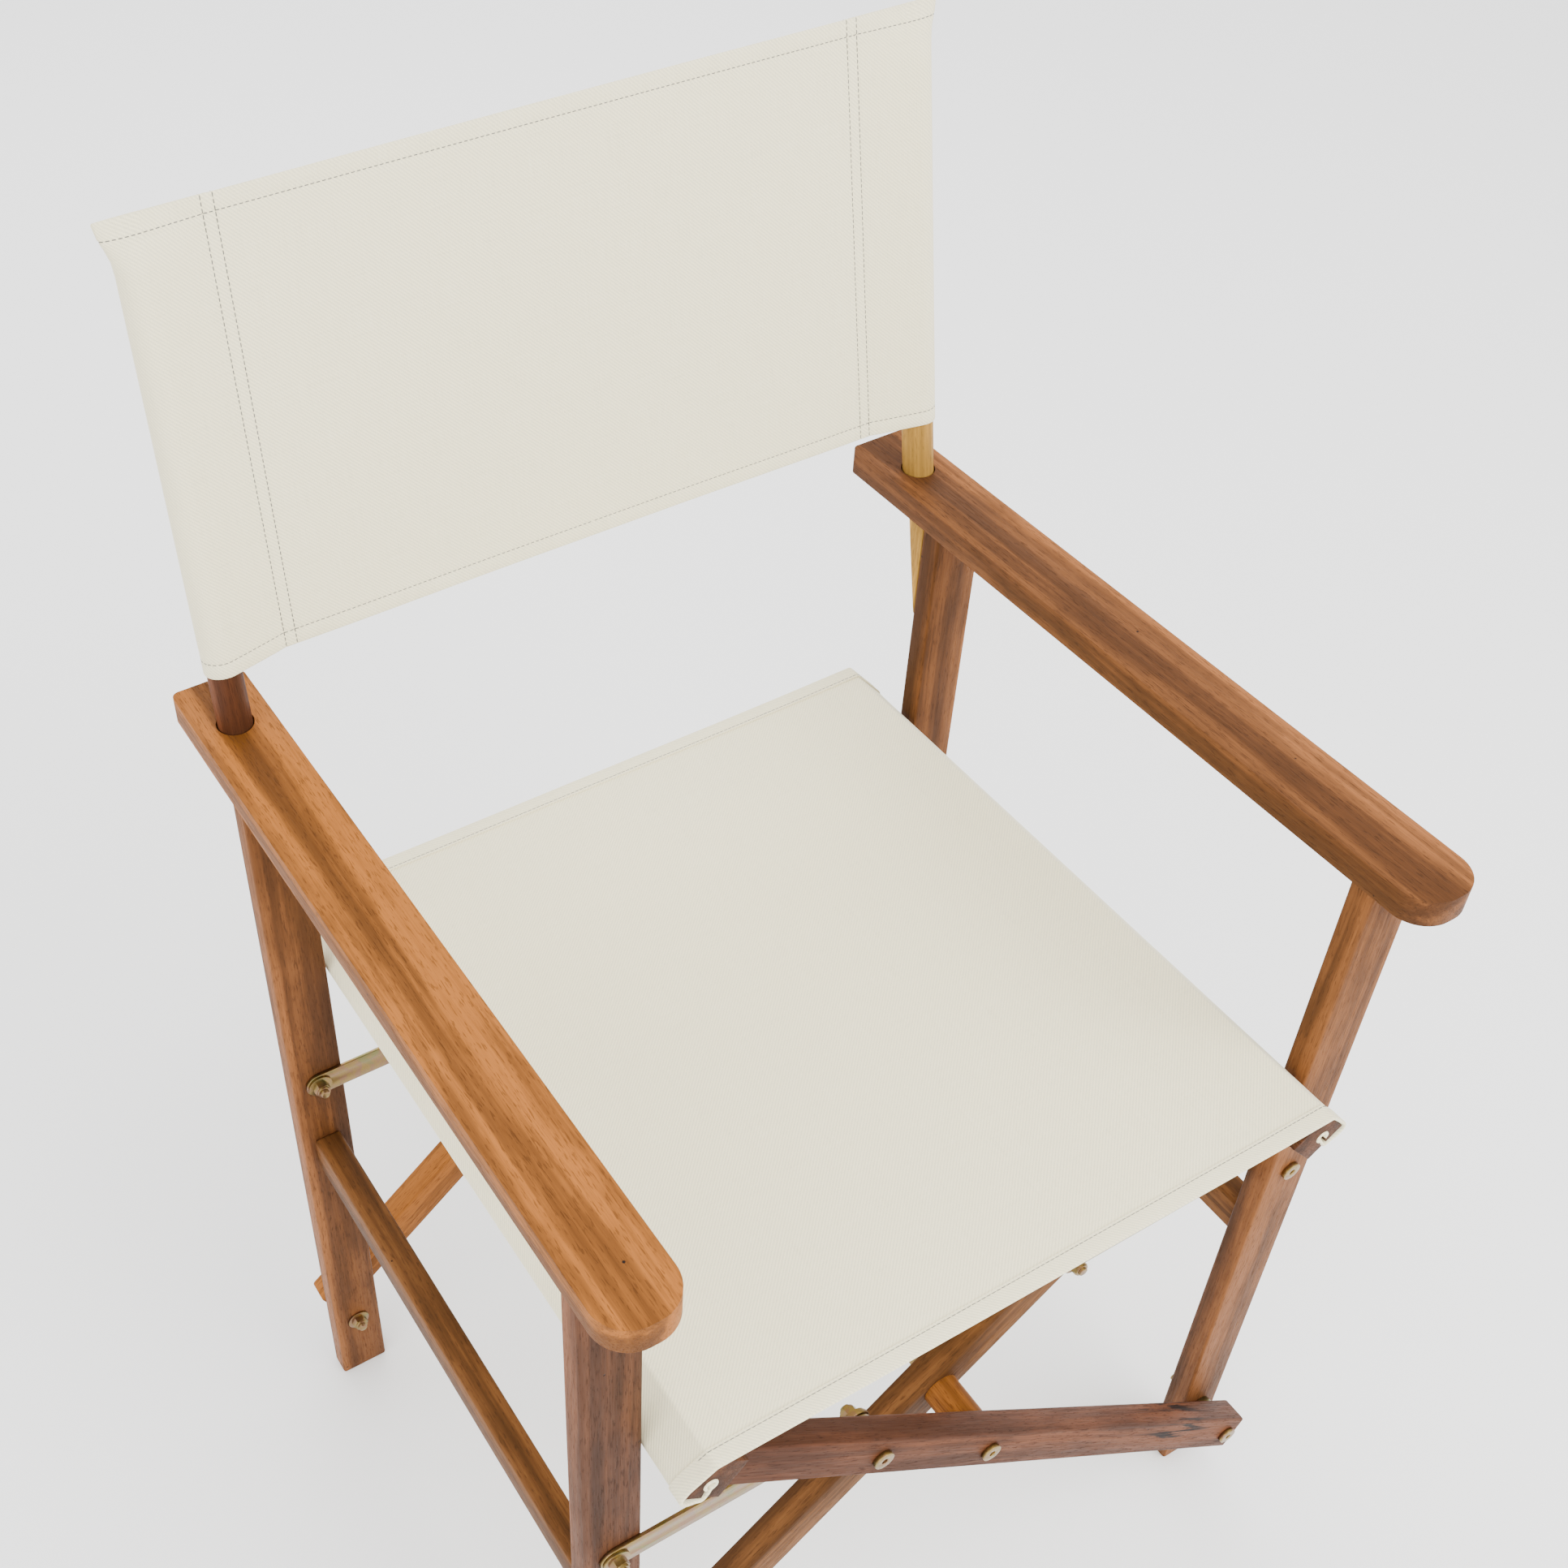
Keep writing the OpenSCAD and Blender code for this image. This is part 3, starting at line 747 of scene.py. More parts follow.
def copy_node(node: str, name: str) -> bpy.types.Object:
    """Copies a CAD node's mesh, merged and with its flat faces whole.

    Args:
        node: the CAD node.
        name: the new piece.

    Returns:
        The new object.
    """
    mesh = frame["nodes"][node].data.copy()
    mesh.name = name
    piece = bpy.data.objects.new(name, mesh)
    bpy.context.scene.collection.objects.link(piece)
    select_only(piece)
    bpy.ops.object.mode_set(mode="EDIT")
    bpy.ops.mesh.select_all(action="SELECT")
    bpy.ops.mesh.remove_doubles(threshold=1e-6)
    bpy.ops.mesh.dissolve_limited(angle_limit=math.radians(0.5))
    bpy.ops.mesh.customdata_custom_splitnormals_clear()
    bpy.ops.object.mode_set(mode="OBJECT")
    return piece


def weigh_sharp_edges(piece: bpy.types.Object, shortest: float, sharp: float = 35.0) -> None:
    """Marks the arrises that the bevel eases, and leaves out those of small bores.

    Args:
        piece: the object.
        shortest: edges shorter than this belong to a bore and stay sharp.
        sharp: the angle in degrees from which an edge is an arris.
    """
    work = bmesh.new()
    work.from_mesh(piece.data)
    layer = work.edges.layers.float.get("bevel_weight_edge") or work.edges.layers.float.new("bevel_weight_edge")
    for edge in work.edges:
        if len(edge.link_faces) == 2 and edge.calc_length() >= shortest:
            if edge.calc_face_angle(0.0) > math.radians(sharp):
                edge[layer] = 1.0
    work.to_mesh(piece.data)
    work.free()


# ---------------------------------------------------------------- timber and metal


@dataclass
class Timber:
    """A wooden piece: its CAD shape with every arris eased by hand, in its own board's colours."""

    node: str
    body: str
    finish: WoodFinish
    grain: Grain
    slot: str
    ease: float = 2.0 * MM
    shortest: float = 1.0 * MM

    def build(self) -> bpy.types.Object:
        """Makes the piece.

        Returns:
            The piece.
        """
        piece = copy_node(self.node, self.node + "_wood")
        weigh_sharp_edges(piece, self.shortest)
        apply_modifier(piece, "BEVEL", width=self.ease, segments=3, limit_method="WEIGHT", profile=0.5,
                       use_clamp_overlap=True, harden_normals=False)
        smooth(piece)
        dress(piece, self.finish.material(self.grain))
        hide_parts(self.node)
        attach(piece, self.body)
        return piece


@dataclass
class Fastener:
    """Bolts, nuts, washers and straps: the CAD shape with its edges broken."""

    node: str
    body: str
    material: bpy.types.Material
    slot: str = "zinc"
    ease: float = 0.35 * MM
    shortest: float = 0.3 * MM

    def build(self) -> bpy.types.Object:
        """Makes the piece.

        Returns:
            The piece.
        """
        piece = copy_node(self.node, self.node + "_metal")
        weigh_sharp_edges(piece, self.shortest)
        apply_modifier(piece, "BEVEL", width=self.ease, segments=2, limit_method="WEIGHT", use_clamp_overlap=True)
        smooth(piece, 30.0)
        dress(piece, self.material)
        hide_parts(self.node)
        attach(piece, self.body)
        return piece


# ---------------------------------------------------------------- cloth


@dataclass
class Cloth:
    """A woven strip: a grid of points that a surface function places, with folded hems at both ends.

    The surface function takes a place along the section (a row's number) and a place across it, in
    metres, and returns the point. A lift moves a point along the surface's normal.
    """

    name: str
    surface: Callable[[float, float], Vector]
    rows: Sequence[float]
    low: float
    high: float
    hem: float
    thickness: float
    steps: int
    row_lengths: Sequence[float]
    row_lifts: dict[int, float] = field(default_factory=dict)
    dent: float = 0.35 * MM
    stitch_inset: float = 1.6 * MM

    def normal(self, row: float, across: float) -> Vector:
        """Gives the outward normal at a place.

        Args:
            row: place along the section.
            across: place across it.

        Returns:
            A unit vector.
        """
        step_row, step_across = 0.05, 0.5 * MM
        first, last = self.rows[0], self.rows[-1]
        a = self.surface(max(row - step_row, first), across)
        b = self.surface(min(row + step_row, last), across)
        c = self.surface(row, across - step_across)
        d = self.surface(row, across + step_across)
        return (b - a).cross(d - c).normalized()

    def columns(self) -> list[tuple[float, float]]:
        """Lists the places across the cloth, with their lifts: hem, stitch dent, middle, dent, hem.

        Returns:
            Pairs of place and lift.
        """
        turn = self.thickness * 1.12
        dent_out = 1.4 * MM
        near = [
            (self.low + self.hem, -turn), (self.low + self.hem * 0.5, -turn), (self.low + turn * 0.5, -turn),
            (self.low + turn * 0.12, -turn * 0.85), (self.low, -turn * 0.5), (self.low + turn * 0.12, -turn * 0.12),
            (self.low + turn * 0.5, 0.0),
        ]
        line = self.hem_lines()[0]
        near += [(line - dent_out, 0.0), (line, -self.dent), (line + dent_out, 0.0), (line + 4 * MM, -0.15 * MM)]
        far = [(self.low + self.high - place, lift) for place, lift in reversed(near)]
        start, end = near[-1][0], far[0][0]
        middle = [(start + (end - start) * i / self.steps, 0.0) for i in range(1, self.steps)]
        return near + middle + far

    def unrolled(self, across: float, lift: float) -> float:
        """Gives a point's place on the flat cloth. A hem's turned part reads on from the edge.

        Args:
            across: its place across the made cloth.
            lift: its lift, which is low on a turned part.

        Returns:
            The place, so that the weave keeps its scale.
        """
        if lift > -self.thickness * 0.6:
            return across
        edge = self.low if across < (self.low + self.high) / 2 else self.high
        return 2 * edge - across

    def hem_lines(self) -> list[float]:
        """Lists the places of the two hem stitch lines.

        Returns:
            Two places across the cloth.
        """
        inset = self.hem - self.stitch_inset
        return [self.low + inset, self.high - inset]

    def build(self, material: bpy.types.Material) -> bpy.types.Object:
        """Makes the cloth with its thickness and UV map.

        Args:
            material: its finish.

        Returns:
            The piece.
        """
        columns = self.columns()
        work = bmesh.new()
        layer = work.loops.layers.uv.new("cloth")
        grid, places = [], {}
        for index, row in enumerate(self.rows):
            line = []
            for across, lift in columns:
                extra = self.row_lifts.get(index, 0.0)
                point = self.surface(row, across) + self.normal(row, across) * (lift + extra)
                vertex = work.verts.new(point)
                places[vertex] = (self.row_lengths[index], self.unrolled(across, lift))
                line.append(vertex)
            grid.append(line)
        for one, two in zip(grid, grid[1:]):
            for a, b, c, d in zip(one, two, two[1:], one[1:]):
                work.faces.new((a, b, c, d))
        for face in work.faces:
            for loop in face.loops:
                loop[layer].uv = places[loop.vert]
        piece = new_piece(self.name, work)
        apply_modifier(piece, "SOLIDIFY", thickness=self.thickness, offset=0.0, use_rim=True)
        smooth(piece, 50.0)
        dress(piece, material)
        return piece

    def stitch_line(self, points: Sequence[Vector], normals: Sequence[Vector]) -> list[tuple[Vector, Vector, Vector]]:
        """Places stitches along a line of points.

        Args:
            points: the line, close enough together to be straight between them.
            normals: the cloth's normal at each.

        Returns:
            Each stitch's middle, direction and normal.
        """
        pitch = 3.4 * MM
        found, carried = [], pitch / 2
        for a, b, n in zip(points, points[1:], normals):
            length = (b - a).length
            while carried <= length and length > 0:
                found.append((a.lerp(b, carried / length), (b - a).normalized(), n))
                carried += pitch
            carried -= length
        return found

    def stitches_across(self, across: float, first: int, last: int, side: float) -> list[tuple[Vector, Vector, Vector]]:
        """Stitches that run along the section at one place across the cloth.

        Args:
            across: the place.
            first: first row's number.
            last: last row's number.
            side: 1 for the outer face and -1 for the inner one.

        Returns:
            The stitches.
        """
        lift = side * (self.thickness * 0.5 + 0.05 * MM) - (self.dent if side > 0 else self.thickness)
        rows = self.rows[first:last + 1]
        normals = [self.normal(row, across) for row in rows]
        points = [self.surface(row, across) + n * lift for row, n in zip(rows, normals)]
        return self.stitch_line(points, normals)

    def stitches_along(self, row: float, side: float, extra: float = 0.0) -> list[tuple[Vector, Vector, Vector]]:
        """Stitches that run across the section, from hem to hem, at one row.

        Args:
            row: the row.
            side: 1 for the outer face and -1 for the inner one.
            extra: depth of what lies under the inner face.

        Returns:
            The stitches.
        """
        lift = side * (self.thickness * 0.5 + 0.12 * MM) - (0.0 if side > 0 else extra)
        count = 60
        places = [self.low + (self.high - self.low) * i / count for i in range(count + 1)]
        normals = [self.normal(row, place) for place in places]
        points = [self.surface(row, place) + n * lift for place, n in zip(places, normals)]
        return self.stitch_line(points, normals)


class MirroredCloth(Cloth):
    """A cloth whose section runs the other way, so that its outward normal is turned."""

    def normal(self, row: float, across: float) -> Vector:
        """Gives the outward normal at a place.

        Args:
            row: place along the section.
            across: place across it.

        Returns:
            A unit vector.
        """
        return -super().normal(row, across)


def build_stitching(name: str, stitches: Iterable[tuple[Vector, Vector, Vector]],
                    material: bpy.types.Material) -> bpy.types.Object:
    """Makes a piece of many short threads.

    Args:
        name: its name.
        stitches: each one's middle, direction and normal.
        material: the thread's finish.

    Returns:
        The piece.
    """
    half, radius, sides = 1.35 * MM, 0.30 * MM, 6
    rings = [(-1.0, 0.35, -0.8), (-0.6, 1.0, 0.0), (0.6, 1.0, 0.0), (1.0, 0.35, -0.8)]
    work = bmesh.new()
    for middle, direction, normal in stitches:
        side_way = direction.cross(normal).normalized()
        loops = []
        for along, width, sink in rings:
            centre = middle + direction * (half * along) + normal * (radius * sink)
            loop = []
            for i in range(sides):
                turn = 2 * math.pi * i / sides
                offset = side_way * math.cos(turn) + normal * (math.sin(turn) * 0.8)
                loop.append(work.verts.new(centre + offset * (radius * width)))
            loops.append(loop)
        for one, two in zip(loops, loops[1:]):
            for i in range(sides):
                j = (i + 1) % sides
                work.faces.new((one[i], one[j], two[j], two[i]))
        work.faces.new(list(reversed(loops[0])))
        work.faces.new(loops[-1])
    bmesh.ops.recalc_face_normals(work, faces=work.faces)
    piece = new_piece(name, work)
    smooth(piece, 60.0)
    dress(piece, material)
    return piece


def corner_arc(centre: Point, radius: float, start: float, end: float, count: int) -> list[Point]:
    """Lists points on an arc.

    Args:
        centre: its centre.
        radius: its radius.
        start: first angle in degrees.
        end: last angle in degrees.
        count: number of points.

    Returns:
        The points.
    """
    found = []
    for i in range(count):
        angle = math.radians(start + (end - start) * i / (count - 1))
        found.append((centre[0] + radius * math.cos(angle), centre[1] + radius * math.sin(angle)))
    return found


def path_lengths(points: Sequence[Point]) -> list[float]:
    """Adds up the length along a section.

    Args:
        points: the section.

    Returns:
        The length at each point.
    """
    found = [0.0]
    for a, b in zip(points, points[1:]):
        found.append(found[-1] + math.dist(a, b))
    return found


def along_path(points: Sequence[Point], row: float) -> Point:
    """Reads a section between its points.

    Args:
        points: the section.
        row: a point's number, or a place between two.

    Returns:
        The place.
    """
    index = min(max(int(row), 0), len(points) - 2)
    share = row - index
    a, b = points[index], points[index + 1]
    return (a[0] + (b[0] - a[0]) * share, a[1] + (b[1] - a[1]) * share)


@dataclass
class SeatCanvas:
    """The seat: round a rod in each seat rail's groove, over the rail's outer face, and across."""

    leg_angle: float = 40.3
    rail: float = 28.5 * MM
    leg_top: float = 263.0 * MM
    groove_u: float = 16.0 * MM
    groove_v: float = -4.0 * MM
    groove_slant: float = 3.0 * MM
    rod_r: float = 2.5 * MM
    thickness: float = 1.0 * MM
    hem: float = 11.0 * MM
    sag: float = 4.0 * MM
    bulge: float = 3.0 * MM
    tuck: float = 0.013
    across_steps: int = 84

    def rail_section(self, cross_z: float) -> list[Point]:
        """The right half of the section, from the rod out to the top corner, in X and Z.

        Args:
            cross_z: height of the crossing bolts.

        Returns:
            The points.
        """
        half = self.rail / 2
        gap = 0.25 * MM + self.thickness / 2
        u1 = self.leg_top + self.rail
        rod = (self.leg_top + self.groove_u, self.groove_v)
        slant = math.degrees(math.atan2(self.groove_slant, half + self.groove_v))
        wrap = self.rod_r + self.thickness / 2 + 0.05 * MM
        local = corner_arc(rod, wrap, -90 - slant - 330, -90 - slant - 25, 22)
        mouth = (rod[0] - self.groove_slant, -half)
        local += [(mouth[0] + 0.1 * MM, mouth[1] + 3 * MM)]
        local += corner_arc((mouth[0] + 1.5 * MM, -half + 0.2 * MM), gap + 0.75 * MM, 195, 262, 5)
        round_r = self.bulge + 1.5 * MM
        low_v = -half - gap - self.bulge
        out_u = u1 + gap + 0.3 * MM
        local += [(mouth[0] + (u1 - mouth[0]) * t, -half - gap - self.bulge * lower)
                  for t, lower in ((0.30, 0.35), (0.45, 0.7), (0.62, 0.95))]
        local += corner_arc((out_u - round_r, low_v + round_r), round_r, -88, 0, 8)
        local += [(out_u - 0.3 * MM * t, -half + self.rail * t) for t in (0.2, 0.4, 0.6, 0.8)]
        local += corner_arc((u1 - 2 * MM, half - 2 * MM), gap + 2 * MM, 2, 90 - self.leg_angle, 7)
        turn = math.radians(self.leg_angle)
        return [(u * math.cos(turn) - v * math.sin(turn), cross_z + u * math.sin(turn) + v * math.cos(turn))
                for u, v in local]

    def build(self, cloth: bpy.types.Material, thread: bpy.types.Material) -> list[bpy.types.Object]:
        """Makes the seat canvas and its stitching.

        Args:
            cloth: the canvas's finish.
            thread: the thread's finish.

        Returns:
            The pieces.
        """
        low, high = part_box("seat_canvas")
        cross = next(j for j in frame["joints"] if j["name"] == "leg_cross")
        right = self.rail_section(cross["pos_m"][2])
        edge_x, edge_z = right[-1]
        top = [(edge_x - 2 * edge_x * i / self.across_steps, edge_z) for i in range(1, self.across_steps)]
        section = right + top + [(-x, z) for x, z in reversed(right)]
        front, back = low.y - 0.5 * MM, high.y - 0.5 * MM
        centre_y = (front + back) / 2

        def surface(row: float, across: float) -> Vector:
            """Places a point of the seat.

            Args:
                row: place along the section.
                across: place from front to back.

            Returns:
                The point.
            """
            x, z = along_path(section, row)
            inside = max(0.0, 1.0 - (x / edge_x) ** 2) if z > edge_z - 0.1 * MM else 0.0
            middle = math.sin(math.pi * min(max((across - front) / (back - front), 0.0), 1.0))
            ripple = 0.5 * MM * math.sin(across * 37.0 + 1.1) * math.sin(x * 21.0 + across * 9.0)
            ease = min(1.0, inside * 3.0)
            wrapped = min(max((edge_z - z) / (self.rail * 0.6), 0.0), 1.0)
            y = across + (centre_y - across) * self.tuck * wrapped
            return Vector((x, y, z - self.sag * inside * (0.3 + 0.7 * middle) + ripple * ease))

        strip = Cloth("seat_canvas_cloth", surface, list(range(len(section))), front, back, self.hem,
                      self.thickness, 46, path_lengths(section))
        piece = strip.build(cloth)
        first, last = len(right) - 8, len(section) - len(right) + 7
        lines = [s for place in strip.hem_lines() for side in (1.0, -1.0)
                 for s in strip.stitches_across(place, first, last, side)]
        stitching = build_stitching("seat_canvas_stitching", lines, thread)
        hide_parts("seat_canvas")
        for one in (piece, stitching):
            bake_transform(one)
        return [piece, stitching]


@dataclass
class BackCanvas:
    """The back: a panel with a pocket round each dowel, sewn down with two lines of stitches."""

    rake: float = 9.5
    lean: float = 1.0
    dowel_x: float = 252.0 * MM
    dowel_y: float = 472.0 * MM
    gap: float = 37.0 * MM
    height: float = 268.0 * MM
    dowel_end: float = 284.0 * MM
    dowel_r: float = 10.5 * MM
    pocket: float = 40.0 * MM
    thickness: float = 1.0 * MM
    hem: float = 11.0 * MM
    line_gap: float = 7.0 * MM
    tail: float = 4.0 * MM
    half_steps: int = 42

    def section(self, up: float, side: float) -> list[Vector]:
        """Half of the section at one height, from the sewn tail round the dowel to the middle.

        Args:
            up: height up the back from the armrests' top.
            side: -1 for the left half and 1 for the right.

        Returns:
            The points in the back's own frame, X across and Y to the rear.
        """
        centre = self.dowel_x - up * math.tan(math.radians(self.lean))
        free = self.dowel_end - 6 * MM
        flat = min(max((up - free) / (self.gap + self.height - free), 0.0), 1.0)
        flat = flat * flat * (3 - 2 * flat)
        wrap = self.dowel_r + self.thickness / 2 + 0.35 * MM
        deep = wrap * (1 - flat) + 1.3 * MM * flat
        wide = wrap * (1 - flat) + (wrap + 7 * MM) * flat
        seam = centre - self.pocket
        arc = 108.0
        points = [Vector((seam - self.tail, 1.5 * MM, up)), Vector((seam, 1.3 * MM, up))]
        rear = (centre + wide * math.cos(math.radians(arc)), deep * math.sin(math.radians(arc)))
        for t in (0.2, 0.45, 0.7):
            points.append(Vector((seam + (rear[0] - seam) * t, 1.3 * MM + (rear[1] - 1.3 * MM) * t, up)))
        for i in range(23):
            angle = math.radians(arc - 2 * arc * i / 22)
            points.append(Vector((centre + wide * math.cos(angle), deep * math.sin(angle), up)))
        for t in (0.7, 0.45, 0.2):
            points.append(Vector((seam + (rear[0] - seam) * t, -(0.3 * MM + (rear[1] - 0.3 * MM) * t), up)))
        lines = [seam, seam - self.line_gap]
        plane = -0.3 * MM
        points += [Vector((lines[0] + 1.2 * MM, plane, up)), Vector((lines[0], plane + 0.35 * MM, up)),
                   Vector((lines[0] - 1.2 * MM, plane, up)), Vector((lines[1] + 1.2 * MM, plane, up)),
                   Vector((lines[1], plane + 0.35 * MM, up)), Vector((lines[1] - 1.2 * MM, plane, up))]
        start = lines[1] - 1.2 * MM
        for i in range(1, self.half_steps + 1):
            x = start * (1 - i / self.half_steps)
            hollow = 1.2 * MM * (1 - (x / start) ** 2)
            wave = math.sin(x * 27.0 + 0.6) * math.sin(up * 19.0 + x * 6.0)
            ripple = 0.45 * MM * wave * min(1.0, 8 * (1 - x / start))
            points.append(Vector((x, plane + hollow + ripple * (x / start), up)))
        return [Vector((side * p.x, p.y, p.z)) for p in points]

    def build(self, cloth: bpy.types.Material, thread: bpy.types.Material) -> list[bpy.types.Object]:
        """Makes both halves of the back canvas, each with its stitching.

        Args:
            cloth: the canvas's finish.
            thread: the thread's finish.

        Returns:
            The pieces.
        """
        arm_low, arm_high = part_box("arm_left")
        turn = Matrix.Rotation(math.radians(-self.rake), 4, "X")
        origin = Vector((0.0, arm_low.y + self.dowel_y, arm_high.z))
        pieces: list[bpy.types.Object] = []
        for side, body in ((-1.0, "side_left"), (1.0, "side_right")):
            label = body.split("_")[1]

            def surface(row: float, across: float, side: float = side) -> Vector:
                """Places a point of the back.

                Args:
                    row: place along the section.
                    across: height up the back.
                    side: -1 for the left half and 1 for the right.

                Returns:
                    The point.
                """
                section = self.section(across, side)
                index = min(max(int(row), 0), len(section) - 2)
                point = section[index].lerp(section[index + 1], row - index)
                return origin + turn @ point

            middle_section = self.section(self.gap + self.height / 2, side)
            lengths = [0.0]
            for a, b in zip(middle_section, middle_section[1:]):
                lengths.append(lengths[-1] + (b - a).length)
            lengths = [side * (lengths[-1] - value) for value in lengths]
            rows = list(range(len(middle_section)))
            kind = MirroredCloth if side > 0 else Cloth
            strip = kind(f"back_canvas_{label}", surface, rows, self.gap, self.gap + self.height, self.hem,
                         self.thickness, 30, lengths)
            piece = strip.build(cloth)
            stitches = [s for row in self.line_rows() for face in (1.0, -1.0)
                        for s in strip.stitches_along(row, face, 1.6 * MM)]
            last = rows[-1]
            for place in strip.hem_lines():
                for face in (1.0, -1.0):
                    stitches += strip.stitches_across(place, 1, last, face)
            stitching = build_stitching(f"back_canvas_stitching_{label}", stitches, thread)
            for one in (piece, stitching):
                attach(one, body)
                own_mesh(one)
            pieces += [piece, stitching]
        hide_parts("back_canvas")
        return pieces

    def line_rows(self) -> list[int]:
        """Gives the rows of the two pocket seams.

        Returns:
            Two row numbers.
        """
        tail, rear, wrap, front = 2, 3, 23, 3
        first = tail + rear + wrap + front + 1
        return [first, first + 3]


# ---------------------------------------------------------------- the chair


ACACIA_GOLD = WoodFinish("arm_left_acacia", Tone.HONEY, 0.5, 0.5, 0.25, 1.0,
                         band=Band("arm_left", 0, 0.42, 8.0 * MM, 0.7))
ACACIA_BROWN = WoodFinish("arm_right_acacia", Tone.CHESTNUT, 0.45, 0.5, 0.3, 2.0,
                          band=Band("arm_right", 0, 0.93, 11.0 * MM, 1.9))


@dataclass
class SideFrame:
    """One side of the chair: armrest, posts, side rail, wedge, dowel and their fasteners."""

    side: str
    arm: WoodFinish
    front_post: WoodFinish
    rear_post: WoodFinish
    rail: WoodFinish
    wedge: WoodFinish
    dowel: WoodFinish
    zinc: bpy.types.Material

    def build(self) -> list[bpy.types.Object]:
        """Makes the side's pieces.

        Returns:
            The pieces.
        """
        body = "side_" + self.side
        timbers = [
            Timber("arm_" + self.side, body, self.arm, Grain.FRONT_TO_BACK, "arm_wood", 3.0 * MM),
            Timber("post_front_" + self.side, body, self.front_post, Grain.UP, "post_wood"),
            Timber("post_rear_" + self.side, body, self.rear_post, Grain.UP, "post_wood"),
            Timber("side_rail_" + self.side, body, self.rail, Grain.FRONT_TO_BACK, "post_wood"),
            Timber("wedge_" + self.side, body, self.wedge, Grain.UP, "pale_wood", 1.0 * MM),
            Timber("dowel_" + self.side, body, self.dowel, Grain.RAKED, "dowel_wood", 1.5 * MM),
            Timber("joint_pins_" + self.side, body, self.wedge, Grain.UP, "pin_wood", 0.5 * MM),
        ]
        kinds = ("strap_bolts", "strap_nuts", "foot_bolts", "foot_nuts", "foot_spacers")
        metal = [Fastener(f"{kind}_{self.side}", body, self.zinc) for kind in kinds]
        return [piece.build() for piece in timbers + metal]


@dataclass
class LegFrame:
    """One of the two crossed leg frames with its seat rail."""

    body: str
    legs: dict[str, tuple[WoodFinish, Grain]]
    rail_node: str
    rail: WoodFinish
    letter: str
    slot: str
    zinc: bpy.types.Material
    rod: bpy.types.Material

    def build(self) -> list[bpy.types.Object]:
        """Makes the frame's pieces.

        Returns:
            The pieces.
        """
        pieces = [Timber(node, self.body, finish, grain, self.slot).build()
                  for node, (finish, grain) in self.legs.items()]
        pieces.append(Timber(self.rail_node, self.body, self.rail, Grain.FRONT_TO_BACK, "dark_wood", 1.5 * MM).build())
        pieces.append(Timber("leg_pins_" + self.letter, self.body, self.rail, Grain.UP, "pin_wood", 0.5 * MM).build())
        rod_node = self.rail_node.replace("rail", "rod")
        pieces.append(Fastener(rod_node, self.body, self.rod, "rod").build())
        for kind in ("leg_bolts_", "leg_spacers_"):
            pieces.append(Fastener(kind + self.letter, self.body, self.zinc).build())
        return pieces


@dataclass
class Studio:
    """Pale floor, soft lights and the camera."""

    azimuth: float = -29.1
    elevation: float = 43.8
    roll: float = -1.5
    place: tuple[float, float, float] = (-0.515, -0.672, 1.424)
    lens_share: float = 1.274
    shift: tuple[float, float] = (0.137, 0.016)
    sensor: float = 36.0

    def build(self) -> None:
        """Makes the camera, the floor and the lights."""
        data = bpy.data.cameras.new("camera")
        data.sensor_width = self.sensor
        data.lens = self.sensor * self.lens_share
        data.shift_x, data.shift_y = self.shift
        camera = bpy.data.objects.new("camera", data)
        bpy.context.scene.collection.objects.link(camera)
        az, el = math.radians(self.azimuth), math.radians(self.elevation)
        forward = Vector((-math.sin(az) * math.cos(el), math.cos(az) * math.cos(el), -math.sin(el)))
        turn = forward.to_track_quat("-Z", "Y").to_matrix().to_4x4()
        camera.matrix_world = Matrix.Translation(self.place) @ turn @ Matrix.Rotation(math.radians(self.roll), 4, "Z")
        bpy.context.scene.camera = camera
        self.build_floor()
        self.build_lights()

    def build_floor(self) -> None:
        """Makes a plain pale floor."""
        deselect()
        bpy.ops.mesh.primitive_plane_add(size=14.0, location=(0, 0, 0))
        floor = bpy.context.object
        floor.name = "floor"
        made, g = new_material("pale_floor")
        shader = g.add("BsdfPrincipled")
        shader.inputs["Base Color"].default_value = (0.95, 0.95, 0.95, 1.0)
        shader.inputs["Roughness"].default_value = 0.9
        g.finish(shader)
        dress(floor, made)

    def build_lights(self) -> None:
        """Makes a large key light, a fill and a pale world."""
        world = bpy.data.worlds.new("pale_world")
        bpy.context.scene.world = world
        world.use_nodes = True
        background = world.node_tree.nodes["Background"]
        background.inputs[0].default_value = (1.0, 1.0, 1.0, 1.0)
        background.inputs[1].default_value = 1.9
        for name, energy, size, place in (
            ("key", 125.0, 2.2, (1.0, -2.1, 2.7)),
            ("fill", 60.0, 3.0, (-2.2, -1.2, 2.2)),
            ("back", 50.0, 2.4, (0.6, 2.4, 2.6)),
        ):
            data = bpy.data.lights.new(name, "AREA")
            data.energy, data.size, data.shape = energy, size, "SQUARE"
            lamp = bpy.data.objects.new(name, data)
            bpy.context.scene.collection.objects.link(lamp)
            toward = Vector((0, 0, 0.45)) - Vector(place)
            lamp.matrix_world = Matrix.Translation(place) @ toward.to_track_quat("-Z", "Y").to_matrix().to_4x4()


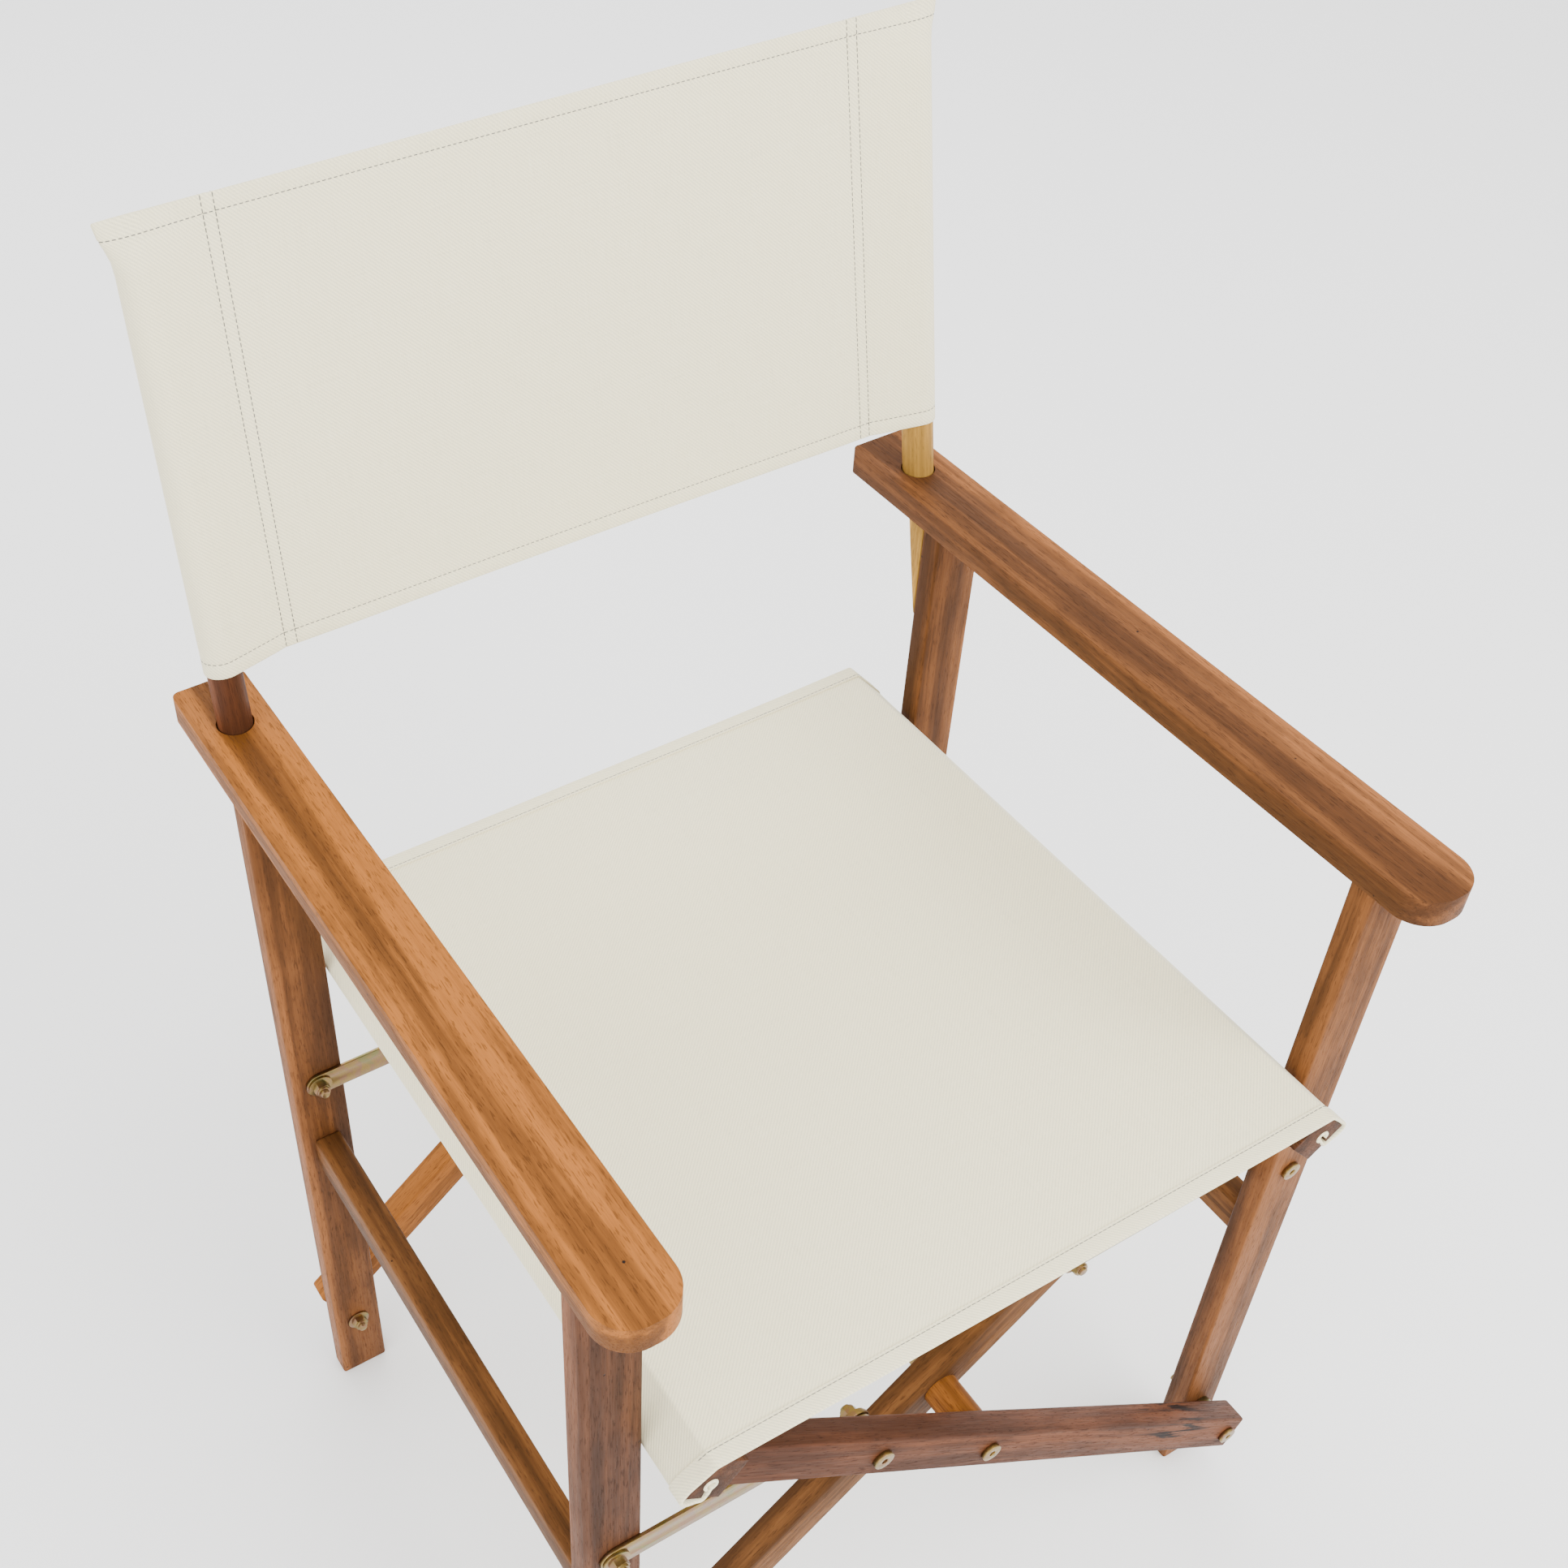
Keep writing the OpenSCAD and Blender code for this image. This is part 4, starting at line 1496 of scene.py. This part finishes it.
def build_chair() -> None:
    """Builds the chair's sub-assemblies in order."""
    zinc = ZincFinish().material()
    rod = PlasticFinish().material()
    cloth = CanvasFinish().material()
    thread = ThreadFinish().material()
    pale = WoodFinish("sapwood", Tone.SAPWOOD, 0.4, 0.4, 0.4, 3.0)
    left = SideFrame(
        "left", ACACIA_GOLD,
        WoodFinish("post_front_left_acacia", Tone.COCOA, 0.6, 0.5, 0.3, 4.0,
                   band=Band("post_front_left", 0, 0.0, 6.0 * MM, 2.3)),
        WoodFinish("post_rear_left_acacia", Tone.CHESTNUT, 0.5, 0.5, 0.3, 5.0,
                   band=Band("post_rear_left", 0, 0.0, 6.0 * MM, 1.8)),
        WoodFinish("side_rail_left_acacia", Tone.OLIVE, 0.5, 0.5, 0.3, 6.0),
        pale,
        WoodFinish("dowel_left_acacia", Tone.RUSSET, 0.5, 0.4, 0.3, 7.0),
        zinc,
    )
    right = SideFrame(
        "right", ACACIA_BROWN,
        WoodFinish("post_front_right_acacia", Tone.CHESTNUT, 0.6, 0.4, 0.5, 8.0,
                   band=Band("post_front_right", 1, 0.0, 10.0 * MM, 1.4)),
        WoodFinish("post_rear_right_acacia", Tone.CHESTNUT, 0.6, 0.4, 0.5, 9.0,
                   band=Band("post_rear_right", 0, 1.0, 14.0 * MM, 1.9)),
        WoodFinish("side_rail_right_acacia", Tone.OLIVE, 0.5, 0.5, 0.4, 10.0),
        pale,
        WoodFinish("dowel_right_sapwood", Tone.SAPWOOD, 0.4, 0.3, 0.6, 11.0,
                   flaw=Flaw("dowel_right", (0.5, 0.55, 0.55), (0.016, 0.016, 0.010), 90.0, 60.0)),
        zinc,
    )
    brown = WoodFinish("leg_brown_acacia", Tone.RUSSET, 0.6, 0.55, 0.4, 12.0,
                       flaw=Flaw("leg_front_outer", (0.83, 0.5, 0.20), (0.030, 0.030, 0.080), 130.0, 11.0))
    olive = WoodFinish("leg_olive_acacia", Tone.OLIVE, 0.6, 0.5, 0.5, 13.0)
    golden = WoodFinish("leg_golden_acacia", Tone.HONEY, 0.5, 0.5, 0.4, 14.0)
    dark = WoodFinish("seat_rail_acacia", Tone.COCOA, 0.6, 0.5, 0.5, 15.0)
    frame_b = LegFrame(
        "legs_b", {"leg_front_outer": (brown, Grain.RISING_LEFT), "leg_rear_inner": (brown, Grain.RISING_LEFT)},
        "seat_rail_left", dark, "b", "leg_wood_red", zinc, rod)
    frame_a = LegFrame(
        "legs_a", {"leg_front_inner": (olive, Grain.RISING_RIGHT), "leg_rear_outer": (golden, Grain.RISING_RIGHT)},
        "seat_rail_right", dark, "a", "leg_wood_olive", zinc, rod)
    for part in (left, right, frame_b, frame_a):
        for piece in part.build():
            log.info("%s: %d faces", piece.name, len(piece.data.polygons))
    for node in ("cross_bolts", "cross_nuts"):
        Fastener(node, "legs_b", zinc).build()
    for node in ("cross_spacer_front", "cross_spacer_rear"):
        Timber(node, "legs_b", golden, Grain.FRONT_TO_BACK, "post_wood", 1.0 * MM).build()
    for corner in ("front_left", "rear_left", "front_right", "rear_right"):
        Fastener("strap_" + corner, "strap_" + corner, zinc).build()
        Fastener("strap_end_nuts_" + corner, "strap_" + corner, zinc).build()
    SeatCanvas().build(cloth, thread)
    BackCanvas().build(cloth, thread)


def main() -> None:
    """Builds the chair and its studio, and reports its pieces."""
    logging.basicConfig(level=logging.INFO, format="%(message)s")
    Studio().build()
    build_chair()


if __name__ == "__main__":
    main()
